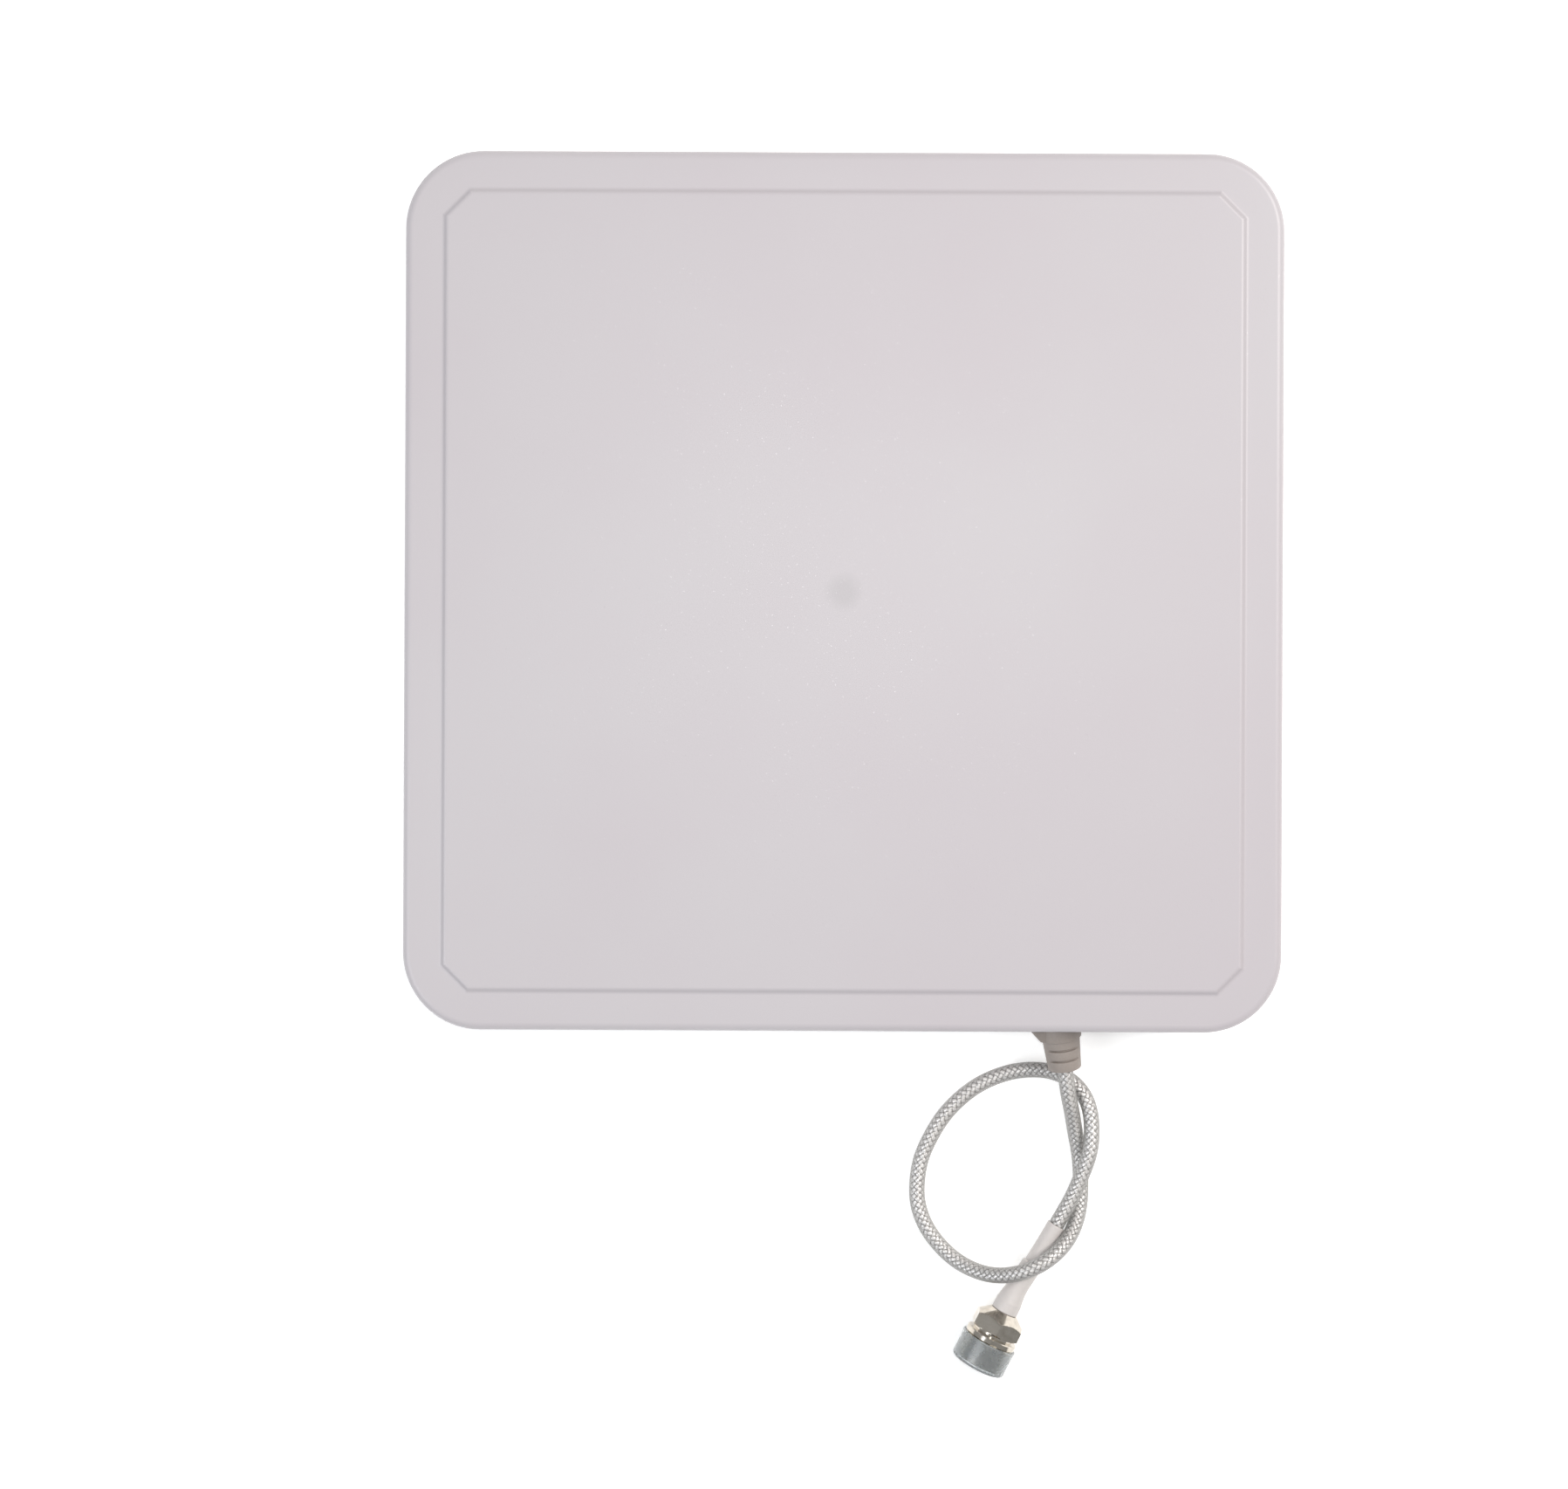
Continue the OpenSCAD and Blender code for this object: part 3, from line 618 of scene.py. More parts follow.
def make_piece(
    bm: bmesh.types.BMesh, name: str, materials: Sequence[bpy.types.Material], body: Body,
    smooth: float = 35.0, replaced: Sequence[str] = (),
) -> bpy.types.Object:
    """Turn a mesh in millimetres to a piece of the object.

    Args:
        bm: The mesh, which is freed.
        name: Name of the piece.
        materials: Its materials, by face index.
        body: The body that it rides on.
        smooth: Edges sharper than this many degrees stay sharp.
        replaced: CAD nodes that it stands for.

    Returns:
        The piece.
    """
    bmesh.ops.scale(bm, vec=(MM, MM, MM), verts=bm.verts)
    bmesh.ops.recalc_face_normals(bm, faces=bm.faces)
    mesh = bpy.data.meshes.new(name)
    bm.to_mesh(mesh)
    bm.free()
    for material in materials:
        mesh.materials.append(material)
    mesh.polygons.foreach_set("use_smooth", [True] * len(mesh.polygons))
    mesh.set_sharp_from_angle(angle=radians(smooth))
    piece = bpy.data.objects.new(name, mesh)
    bpy.context.scene.collection.objects.link(piece)
    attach(piece, body.value)
    if replaced:
        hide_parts(*replaced)
    log.info("%s: %d faces", name, len(mesh.polygons))
    return piece


@dataclass
class Route:
    """The cable's centreline, a cubic B-spline through control points in millimetres."""

    points: Sequence[Point]
    fine: int = 40

    def __post_init__(self) -> None:
        """Lay the curve out in fine steps and measure it."""
        given = np.array(self.points, float)
        self.hull = np.vstack([2 * given[0] - given[1], given, 2 * given[-1] - given[-2]])
        self.places = np.linspace(0, len(given) - 1, (len(given) - 1) * self.fine + 1)
        self.line = self.curve(self.places)
        steps = np.linalg.norm(np.diff(self.line, axis=0), axis=1)
        self.run = np.concatenate([[0.0], np.cumsum(steps)])
        ahead = np.gradient(self.line, self.run, axis=0)
        self.ahead = ahead / np.linalg.norm(ahead, axis=1, keepdims=True)

    @property
    def length(self) -> float:
        """Length of the curve in millimetres."""
        return float(self.run[-1])

    def curve(self, places: np.ndarray) -> np.ndarray:
        """Work out points on the curve.

        Args:
            places: Places along it, counted in control points.

        Returns:
            One point for each place.
        """
        start = np.minimum(places.astype(int), len(self.points) - 2)
        f = (places - start)[:, None]
        near = [self.hull[start + k] for k in range(4)]
        return ((1 - f) ** 3 * near[0] + (3 * f ** 3 - 6 * f ** 2 + 4) * near[1]
                + (3 * f + 3 * f ** 2 - 3 * f ** 3 + 1) * near[2] + f ** 3 * near[3]) / 6

    def run_at(self, place: float) -> float:
        """Length from the start to a place counted in control points."""
        return float(np.interp(place, self.places, self.run))

    def frames(self, runs: np.ndarray) -> tuple[np.ndarray, np.ndarray, np.ndarray]:
        """Work out the point and the two cross directions at lengths along the curve.

        Args:
            runs: Lengths from the start.

        Returns:
            Points, sideways directions and upward directions.
        """
        point = np.column_stack([np.interp(runs, self.run, self.line[:, k]) for k in range(3)])
        ahead = np.column_stack([np.interp(runs, self.run, self.ahead[:, k]) for k in range(3)])
        ahead /= np.linalg.norm(ahead, axis=1, keepdims=True)
        side = np.cross(ahead, (0.0, 0.0, 1.0))
        side /= np.linalg.norm(side, axis=1, keepdims=True)
        return point, side, np.cross(side, ahead)


def wrap_grid(
    bm: bmesh.types.BMesh, route: Route, along: int, around: int,
    shape: Callable[[np.ndarray, np.ndarray], tuple[np.ndarray, np.ndarray, np.ndarray]],
    material: int = 0,
) -> list[bmesh.types.BMFace]:
    """Wrap a flat grid round the route and close its seam.

    Args:
        bm: The mesh.
        route: The centreline.
        along: Steps along the route.
        around: Steps across, which come back to where they start.
        shape: Gives the length along the route, the radius and the angle of each point from
            its two shares of the grid.
        material: Index of the new faces' material.

    Returns:
        The new faces.
    """
    old_verts = set(bm.verts)
    old_faces = set(bm.faces)
    bmesh.ops.create_grid(bm, x_segments=along, y_segments=around, size=1.0, calc_uvs=True)
    verts = [v for v in bm.verts if v not in old_verts]
    flat = np.array([v.co for v in verts]) / 2 + 0.5
    runs, radius, angle = shape(flat[:, 0], flat[:, 1])
    point, side, up = route.frames(runs)
    spot = point + (radius * np.cos(angle))[:, None] * side + (radius * np.sin(angle))[:, None] * up
    for vert, co in zip(verts, spot):
        vert.co = co
    faces = [f for f in bm.faces if f not in old_faces]
    for face in faces:
        face.material_index = material
    bmesh.ops.remove_doubles(bm, verts=verts, dist=MERGE)
    return [f for f in faces if f.is_valid]


def ring_profile(profile: Profile) -> Callable[[np.ndarray, np.ndarray], tuple]:
    """Make the shape of a round skin from its length and radius at even shares.

    Args:
        profile: Length along the route and radius of each ring.

    Returns:
        A shape for wrap_grid.
    """
    given = np.array(profile, float)
    shares = np.linspace(0, 1, len(given))

    def shape(u: np.ndarray, v: np.ndarray) -> tuple[np.ndarray, np.ndarray, np.ndarray]:
        """Look the ring up for each point.

        Args:
            u: Share of the way along the profile.
            v: Share of the way round.

        Returns:
            Length along the route, radius and angle of each point.
        """
        return np.interp(u, shares, given[:, 0]), np.interp(u, shares, given[:, 1]), 2 * pi * v

    return shape


def axis_place(start: Vector, direction: Vector) -> Matrix:
    """Matrix that turns +Z to a direction and moves the origin to a start."""
    return Matrix.Translation(start) @ direction.to_track_quat("Z", "X").to_matrix().to_4x4()


def ease(value: float) -> float:
    """Smooth step from 0 to 1."""
    t = min(max(value, 0.0), 1.0)
    return t * t * (3 - 2 * t)


# ---- Panel ----


@dataclass
class Radome:
    """Moulded cover with a raised front, a rebate for the plate and eight screw bosses."""

    finish: bpy.types.Material
    corner_r: float = 23.0
    corner_steps: int = 20
    wall_t: float = 3.2
    lip_t: float = 1.2
    ledge_z: float = 3.0
    plate_z: float = 2.0
    edge_r: float = 2.5
    edge_steps: int = 6
    plateau_inset: float = 12.0
    plateau_h: float = 1.0
    plateau_slope: float = 1.2
    plateau_cut: float = 7.5
    fold: float = 0.6
    fold_steps: int = 4
    rim_margin: float = 2.0
    boss_inset: float = 9.0
    boss_gap: float = 3.0
    boss_r: float = 4.0
    boss_steps: int = 32
    screw_r: float = 1.8
    screw_z: float = 14.0
    rib_t: float = 2.0
    exit_place: tuple[float, float] = (65.5, 15.5)
    exit_r: float = 6.05
    exit_steps: int = 40

    def __post_init__(self) -> None:
        """Take the panel's overall size from the frame."""
        low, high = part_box("radome")
        self.width = (high.x - low.x) / MM
        self.depth = (high.z - low.z) / MM
        self.rim_z = self.depth - self.plateau_h
        self.roof_z = self.rim_z - self.wall_t

    def loop(self, bm: bmesh.types.BMesh, width: float, z: float) -> list[bmesh.types.BMEdge]:
        """Add a round-cornered loop that shares the panel's corner centres.

        Args:
            bm: The mesh.
            width: Width between its flat sides.
            z: Height of the loop.

        Returns:
            The loop's edges.
        """
        corner = self.corner_r - (self.width - width) / 2
        return square_loop(bm, width, corner, self.corner_steps, z)

    def plateau_loop(self, bm: bmesh.types.BMesh, half: float, z: float) -> list[bmesh.types.BMEdge]:
        """Add a cut-cornered loop of the raised front at a half width.

        Args:
            bm: The mesh.
            half: Half of the width between its flat sides.
            z: Height of the loop.

        Returns:
            The loop's edges.
        """
        nominal = self.width / 2 - self.plateau_inset
        cut = self.plateau_cut + (half - nominal) * (2 - 2 ** 0.5)
        return square_loop(bm, 2 * half, cut, self.corner_steps, z, cut=True)

    def plateau_edge(self) -> Profile:
        """Half width and height of each loop up the raised front's sloping edge.

        Returns:
            Half width and height of each loop, from the rim inwards.
        """
        half = self.width / 2 - self.plateau_inset
        foot = Vector((half + self.plateau_slope / 2, self.rim_z))
        top = Vector((half - self.plateau_slope / 2, self.depth))
        slope = (top - foot).normalized()
        flat = Vector((self.fold, 0.0))
        points = []
        for start, corner, end in (
            (foot + flat, foot, foot + slope * self.fold),
            (top - slope * self.fold, top, top - flat),
        ):
            for k in range(self.fold_steps + 1):
                t = k / self.fold_steps
                points.append(tuple(start.lerp(corner, t).lerp(corner.lerp(end, t), t)))
        return [(points[0][0] + self.rim_margin, self.rim_z), *points]

    def outside(self, bm: bmesh.types.BMesh) -> list[bmesh.types.BMEdge]:
        """Build the outer skin and return its loop at the back.

        Args:
            bm: The mesh.

        Returns:
            The loop at the back.
        """
        loops = [self.loop(bm, self.width, 0.0)]
        for k in range(self.edge_steps + 1):
            turn = pi / 2 * k / self.edge_steps
            inset = self.edge_r * (1 - cos(turn))
            loops.append(self.loop(bm, self.width - 2 * inset, self.rim_z - self.edge_r * (1 - sin(turn))))
        loops += [self.plateau_loop(bm, half, z) for half, z in self.plateau_edge()]
        loft(bm, loops)
        bmesh.ops.contextual_create(bm, geom=loops[-1])
        return loops[0]

    def inside(self, bm: bmesh.types.BMesh) -> list[bmesh.types.BMEdge]:
        """Build the rebate and the cavity and return their loop at the back.

        Args:
            bm: The mesh.

        Returns:
            The loop at the back.
        """
        rebate = self.width - 2 * self.lip_t
        cavity = self.width - 2 * self.wall_t
        recess = self.width / 2 - self.plateau_inset - self.wall_t
        loops = [self.loop(bm, rebate, 0.0), self.loop(bm, rebate, self.ledge_z),
                 self.loop(bm, cavity, self.ledge_z), self.loop(bm, cavity, self.roof_z)]
        loops += [self.plateau_loop(bm, recess, self.roof_z + h) for h in (0, self.plateau_h)]
        loft(bm, loops)
        bmesh.ops.contextual_create(bm, geom=loops[-1])
        return loops[0]

    def cable_hole(self, bm: bmesh.types.BMesh) -> None:
        """Cut the hole for the strain relief through the wall.

        Args:
            bm: The mesh.
        """
        rings = []
        for y in (-self.width / 2, self.wall_t - self.width / 2):
            middle = Vector((0.0, y, self.rim_z / 2))
            wall = min(bm.faces, key=lambda f: (f.calc_center_median() - middle).length)
            place = Matrix.Translation((self.exit_place[0], y, self.exit_place[1]))
            made = bmesh.ops.create_circle(bm, segments=self.exit_steps, radius=self.exit_r,
                                           matrix=place @ Matrix.Rotation(pi / 2, 4, "X"))
            ring = list({e for v in made["verts"] for e in v.link_edges})
            loft(bm, [open_face(bm, wall), ring])
            rings.append(ring)
        loft(bm, rings)

    def bosses(self, bm: bmesh.types.BMesh) -> None:
        """Stand a bored boss, with a rib to the wall, at each cover screw.

        Args:
            bm: The mesh.
        """
        side = self.width / 2 - self.boss_inset
        corner = self.width / 2 - self.corner_r
        corner += (self.corner_r - self.boss_inset - self.boss_gap) / 2 ** 0.5
        profile = [(0.0, self.screw_z), (self.screw_r, self.screw_z), (self.screw_r, self.plate_z),
                   (self.boss_r, self.plate_z), (self.boss_r, self.roof_z), (0.0, self.roof_z)]
        for x in (-1, 0, 1):
            for y in (-1, 0, 1):
                if x == y == 0:
                    continue
                away = side if x * y == 0 else corner
                place = Matrix.Translation((x * away, y * away, 0.0))
                turned(bm, profile, self.boss_steps, place)
                reach = self.boss_inset - self.wall_t + (self.boss_gap if x * y else 0.0)
                self.rib(bm, place.translation, Vector((x, y, 0)).normalized(), reach)

    def rib(self, bm: bmesh.types.BMesh, foot: Vector, outward: Vector, reach: float) -> None:
        """Add the rib that ties a boss to the nearest wall.

        Args:
            bm: The mesh.
            foot: Middle of the boss's foot.
            outward: Direction to the wall.
            reach: Distance from the middle to the wall.
        """
        height = self.roof_z - self.ledge_z
        start = self.boss_r - self.rib_t / 2
        middle = foot + outward * (start + reach) / 2 + Vector((0, 0, self.ledge_z + height / 2))
        turn = outward.to_track_quat("X", "Z").to_matrix().to_4x4()
        size = Matrix.Diagonal((reach - start + self.rib_t / 2, self.rib_t, height, 1.0))
        bmesh.ops.create_cube(bm, size=1.0, matrix=Matrix.Translation(middle) @ turn @ size)

    def build(self) -> bpy.types.Object:
        """Build the radome.

        Returns:
            The piece, which stands for the CAD radome.
        """
        bm = bmesh.new()
        loft(bm, [self.outside(bm), self.inside(bm)])
        self.cable_hole(bm)
        bmesh.ops.remove_doubles(bm, verts=bm.verts, dist=MERGE)
        self.bosses(bm)
        piece = make_piece(bm, "moulded_radome", [self.finish], Body.PANEL,
                           replaced=["radome"])
        flats = piece.modifiers.new("even_flats", "WEIGHTED_NORMAL")
        flats.weight = 100
        flats.keep_sharp = True
        return piece


# ---- Cable and jack ----

# The control points of the free cable, as the CAD model has them
FREE_ROUTE: Sequence[Point] = (
    (66.5, -138, 14), (67.5, -145, 12.5), (68.5, -152, 11), (70, -158, 8),
    (71, -164, 5), (72.5, -170.5, 3), (73, -177, 2.5), (73, -184, 2.5), (72, -190, 4.5), (69, -195.5, 9.5),
    (64.5, -199.5, 13.5), (59, -203, 14.5), (52.5, -205.5, 13.5), (46, -206.5, 10.5),
    (40, -205.5, 7), (34.5, -203, 4), (29.5, -198.5, 2.5), (25.5, -193, 2.5),
    (23, -186, 2.5), (23, -179.5, 2.5), (24, -172.5, 2.5), (27, -166, 2.5),
    (30.5, -160, 2.5), (35, -155, 2.5), (40.5, -150.5, 2.5), (46.5, -147.5, 2.5),
    (53, -145.5, 2.5), (60, -145, 3), (66.5, -146, 4), (72.5, -150, 6), (75.5, -156, 7.5),
    (76, -163, 8), (75.5, -169.5, 8.5), (73, -176, 8), (70.5, -182.5, 7.5),
    (67, -188.5, 7.5), (63.5, -194.5, 7.5), (60, -200.5, 7.5), (56.5, -205.5, 8),
    (52.5, -211.5, 8.5), (49.5, -217.5, 8.5),
)


@dataclass
class StrainRelief:
    """Ribbed rubber boot that is gripped by the panel's wall and bends towards the cable."""

    finish: bpy.types.Material
    route: Route
    wall_t: float = 3.2
    bend_out: float = 1.0
    flange_r: float = 8.0
    flange_t: float = 2.0
    neck_r: float = 6.0
    seat_r: float = 6.25
    seat_l: float = 3.4
    seat_fade: float = 0.3
    root_r: float = 5.95
    end_r: float = 5.0
    bore_r: float = 2.75
    mouth_r: float = 2.45
    bore_taper: tuple[float, float] = (0.4, 0.6)
    gap: float = 0.05
    grooves: tuple[float, ...] = (9.8, 6.4, 3.0)
    groove_w: float = 0.9
    groove_depth: float = 1.0
    groove_shape: Profile = ((0.0, 0.0), (0.5, 1.0), (0.75, 1.0), (0.85, 0.0))
    plain_share: float = 0.74
    plain_fade: float = 0.08
    plain_margin: float = 0.1
    mouth_margin: float = 0.3
    reach: float = 5.0
    lug_w: float = 9.8
    lug_l: float = 3.5
    lug_t: float = 8.0
    lug_softness: float = 0.7
    softness: float = 0.12
    round_steps: int = 3
    bend_l: float = 3.0
    bend_lead: float = 0.5
    around: int = 48

    def __post_init__(self) -> None:
        """Find the bend and the end from the cable's route and the panel's wall."""
        start = Vector(self.route.points[0])
        self.direction = (Vector(self.route.points[1]) - start).normalized()
        self.end = start + self.direction * self.reach
        wall_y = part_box("radome")[0].y / MM
        span = (self.end.y - wall_y + self.bend_out) / self.direction.y
        self.bend = self.end - self.direction * span
        self.length = span + self.bend_out

    def radius(self, out: float) -> float:
        """Radius of the tapered body at a distance out of the wall."""
        return self.root_r + (self.end_r - self.root_r) * out / self.length

    def profile(self) -> Profile:
        """Outline of the boot from its bore at the back round to its mouth.

        Returns:
            Radius and distance out of the wall of each point.
        """
        back = -self.wall_t - self.gap - self.flange_t
        line = [(self.bore_r, back), (self.flange_r, back), (self.flange_r, back + self.flange_t),
                (self.neck_r, back + self.flange_t), (self.neck_r, self.gap), (self.seat_r, self.gap),
                (self.seat_r, self.seat_l), (self.radius(self.seat_l), self.seat_l + self.seat_fade)]
        for groove in self.grooves:
            start = self.length - groove - self.groove_w
            for share, sunk in self.groove_shape:
                out = start + share * self.groove_w
                line.append((self.radius(out) - sunk * self.groove_depth, out))
        wide, narrow = (share * self.length for share in self.bore_taper)
        line += [(self.end_r, self.length), (self.mouth_r, self.length), (self.mouth_r, narrow),
                 (self.bore_r, wide)]
        return line + line[:1]

    def lug(self, bm: bmesh.types.BMesh) -> list[bmesh.types.BMVert]:
        """Add the lug that keys the seat to the wall on one side.

        Args:
            bm: The mesh.

        Returns:
            The lug's vertices.
        """
        corners = [(-self.lug_w, self.gap), (-self.root_r, self.lug_l), (0.0, self.lug_l), (0.0, self.gap)]
        base = [bm.verts.new((x, -self.lug_t / 2, out)) for x, out in corners]
        face = bm.faces.new(base)
        made = bmesh.ops.extrude_face_region(bm, geom=[face], use_keep_orig=True)
        top = new_part(made, bmesh.types.BMVert)
        bmesh.ops.translate(bm, verts=top, vec=(0.0, self.lug_t, 0.0))
        return base + top

    def smooth_flanks(self, bm: bmesh.types.BMesh) -> None:
        """Fill the grooves along the two plain flanks, where the mould parts.

        Args:
            bm: The mesh.
        """
        lowest = self.end_r - self.groove_depth - self.plain_margin
        start = self.seat_l + self.plain_margin
        end = self.length - self.mouth_margin
        for vert in bm.verts:
            x, up, out = vert.co
            full = self.radius(out)
            reach = hypot(x, up)
            past = abs(x) / reach - self.plain_share
            if lowest < reach < full and start < out < end and past > 0:
                grow = 1 + (full / reach - 1) * ease(past / self.plain_fade)
                vert.co.x, vert.co.y = x * grow, up * grow

    def curl(self, bm: bmesh.types.BMesh) -> None:
        """Bend the straight boot so that its body follows the cable.

        Args:
            bm: The mesh.
        """
        straight = Vector((0.0, -1.0, 0.0))
        full = straight.rotation_difference(self.direction)
        for vert in bm.verts:
            x, up, out = vert.co
            turn = Matrix.Identity(3).to_quaternion().slerp(full, ease((out + self.bend_lead) / self.bend_l))
            vert.co = self.bend + turn @ Vector((x, self.bend_out - out, up))

    def build(self) -> bpy.types.Object:
        """Build the boot.

        Returns:
            The piece, which stands for the CAD strain relief.
        """
        bm = bmesh.new()
        turned(bm, self.profile(), self.around, Matrix.Identity(4))
        soften(bm, bm.verts, self.softness, self.round_steps)
        self.smooth_flanks(bm)
        lug = self.lug(bm)
        bmesh.ops.recalc_face_normals(bm, faces=bm.faces)
        soften(bm, lug, self.lug_softness, self.round_steps)
        self.curl(bm)
        return make_piece(bm, "ribbed_boot", [self.finish], Body.PANEL, 50.0,
                          ["strain_relief"])


@dataclass
class Pigtail:
    """Braided coax: a core, twelve strands that weave over and under, and a clear jacket."""

    jacket: bpy.types.Material
    braid: bpy.types.Material
    core: bpy.types.Material
    route: Route
    diameter: float = 4.8
    core_r: float = 1.55
    weave_r: float = 1.86
    weave_wave: float = 0.17
    strand_w: float = 1.24
    strand_t: float = 0.22
    strands: int = 6
    lay: float = 11.2
    steps_per_lay: int = 48
    strand_around: int = 6
    jacket_around: int = 20
    core_around: int = 12
    ring_step: float = 0.8

    @classmethod
    def crests(cls, route: Route) -> float:
        """How often each strand comes to the top over the whole cable."""
        return route.length * cls.strands / cls.lay

    def skin(self, bm: bmesh.types.BMesh, radius: float, around: int, end: float, material: int) -> None:
        """Add a closed round skin from the cable's start to an end.

        Args:
            bm: The mesh.
            radius: Its radius.
            around: Steps round it.
            end: Length at which it ends.
            material: Index of its material.
        """
        count = int(end / self.ring_step)
        rings = [(end * k / count, radius) for k in range(count + 1)]
        profile = [(0.0, 0.0), *rings, (end, 0.0)]
        wrap_grid(bm, self.route, len(profile) - 1, around, ring_profile(profile), material)

    def strand(self, bm: bmesh.types.BMesh, number: int, way: int, end: float) -> None:
        """Add one strand of the braid.

        Args:
            bm: The mesh.
            number: Which strand of its direction it is.
            way: 1 or -1, the direction in which it winds.
            end: Length at which it ends.
        """
        start = 2 * pi * number / self.strands
        slant = np.arctan2(2 * pi * self.weave_r, self.lay)
        crossing = 2 * pi * self.strands / self.lay

        def shape(u: np.ndarray, v: np.ndarray) -> tuple[np.ndarray, np.ndarray, np.ndarray]:
            """Wind a flat lens of wires round the core, over one strand and under the next.

            Args:
                u: Share of the way along the strand.
                v: Share of the way round its lens.

            Returns:
                Length along the route, radius and angle of each point.
            """
            run = u * end
            across = self.strand_w / 2 * np.cos(2 * pi * v)
            thick = self.strand_t / 2 * np.sin(2 * pi * v)
            wave = way * self.weave_wave * np.cos(crossing * run)
            angle = start + way * (2 * pi * run / self.lay + across * np.cos(slant) / self.weave_r)
            return np.clip(run - across * np.sin(slant), 0, end), self.weave_r + wave + thick, angle

        steps = int(end / self.lay * self.steps_per_lay)
        faces = wrap_grid(bm, self.route, steps, self.strand_around, shape, 1)
        if way < 0:
            # These strands come to the top where the others dip, so their painted shade moves half a crest
            shift = 0.5 / self.crests(self.route)
            strand = bm.loops.layers.uv.active
            for face in faces:
                for corner in face.loops:
                    corner[strand].uv.x += shift

    def build(self) -> bpy.types.Object:
        """Build the cable.

        Returns:
            The piece, which stands for the CAD pigtail.
        """
        bm = bmesh.new()
        bm.loops.layers.uv.new("strand")
        end = self.route.length
        self.skin(bm, self.diameter / 2, self.jacket_around, end, 0)
        self.skin(bm, self.core_r, self.core_around, end, 2)
        for number in range(self.strands):
            for way in (1, -1):
                self.strand(bm, number, way, end)
        return make_piece(bm, "braided_pigtail", [self.jacket, self.braid, self.core], Body.PANEL, 80.0,
                          ["coax_pigtail"])


@dataclass
class Sleeves:
    """Two shrunk sleeves: a thin one on the cable and a thicker one over the crimp."""

    finish: bpy.types.Material
    route: Route
    inner_from: float = 35.5
    outer_from: float = 37.5
    inner_r: float = 2.75
    outer_r: float = 3.3
    end_r: float = 4.05
    bore_r: float = 2.45
    crimp_bore_r: float = 3.25
    crimp_l: float = 6.6
    ridge_back: float = 3.3
    ridge: float = 0.1
    ridge_w: float = 0.35
    flare_l: float = 9.0
    flare_end: float = 1.5
    lip_t: float = 0.4
    lip_steps: int = 4
    step: float = 0.4
    around: int = 32

    def tube(self, name: str, line: list[tuple[float, float]], bore: list[tuple[float, float]],
             node: str) -> bpy.types.Object:
        """Wrap a closed wall round the cable.

        Args:
            name: Name of the piece.
            line: Length and radius along the outside.
            bore: Length and radius back along the bore.
            node: CAD node that it stands for.

        Returns:
            The piece.
        """
        bm = bmesh.new()
        profile = line + bore + line[:1]
        wrap_grid(bm, self.route, len(profile) - 1, self.around, ring_profile(profile))
        bmesh.ops.remove_doubles(bm, verts=bm.verts, dist=MERGE)
        return make_piece(bm, name, [self.finish], Body.PANEL, 50.0, [node])

    def lip(self, at: float, radius: float, wall: float, way: int) -> list[tuple[float, float]]:
        """Rounded end of a sleeve, from its bore to its outside.

        Args:
            at: Length at which the sleeve ends.
            radius: Its outside radius.
            wall: Thickness of its wall.
            way: 1 where the sleeve starts, -1 where it stops.

        Returns:
            Length and radius of each point.
        """
        turns = [pi / 2 * k / self.lip_steps for k in range(self.lip_steps + 1)]
        return [(at + way * wall * (1 - cos(t)), radius - wall + wall * sin(t)) for t in turns]

    def build(self) -> list[bpy.types.Object]:
        """Build both sleeves.

        Returns:
            The inner sleeve and the outer sleeve.
        """
        start = self.route.run_at(self.inner_from)
        middle = self.route.run_at(self.outer_from)
        end = self.route.length
        wall = self.inner_r - self.bore_r
        line = self.lip(start, self.inner_r, wall, 1)
        line += [(s, self.inner_r) for s in np.arange(start + 2 * wall, middle, 2 * self.step)]
        line.append((middle, self.inner_r))
        thin = self.tube("shrunk_sleeve_thin", line, [(middle, self.bore_r), (start, self.bore_r)],
                         "inner_sleeve")

        wall = self.outer_r - self.bore_r
        line = self.lip(middle, self.outer_r, wall, 1)
        for s in np.arange(middle + 2 * wall, end - self.step, self.step):
            grow = ease((s - (end - self.flare_l)) / (self.flare_l - self.flare_end))
            bead = self.ridge * exp(-((s - (end - self.ridge_back)) / self.ridge_w) ** 2)
            line.append((s, self.outer_r + (self.end_r - self.outer_r) * grow + bead))
        line += self.lip(end, self.end_r, self.lip_t, -1)[::-1]
        bore = [(end, self.crimp_bore_r), (end - self.crimp_l, self.crimp_bore_r),
                (end - self.crimp_l, self.bore_r), (middle, self.bore_r)]
        return [thin, self.tube("shrunk_sleeve_thick", line, bore, "outer_sleeve")]


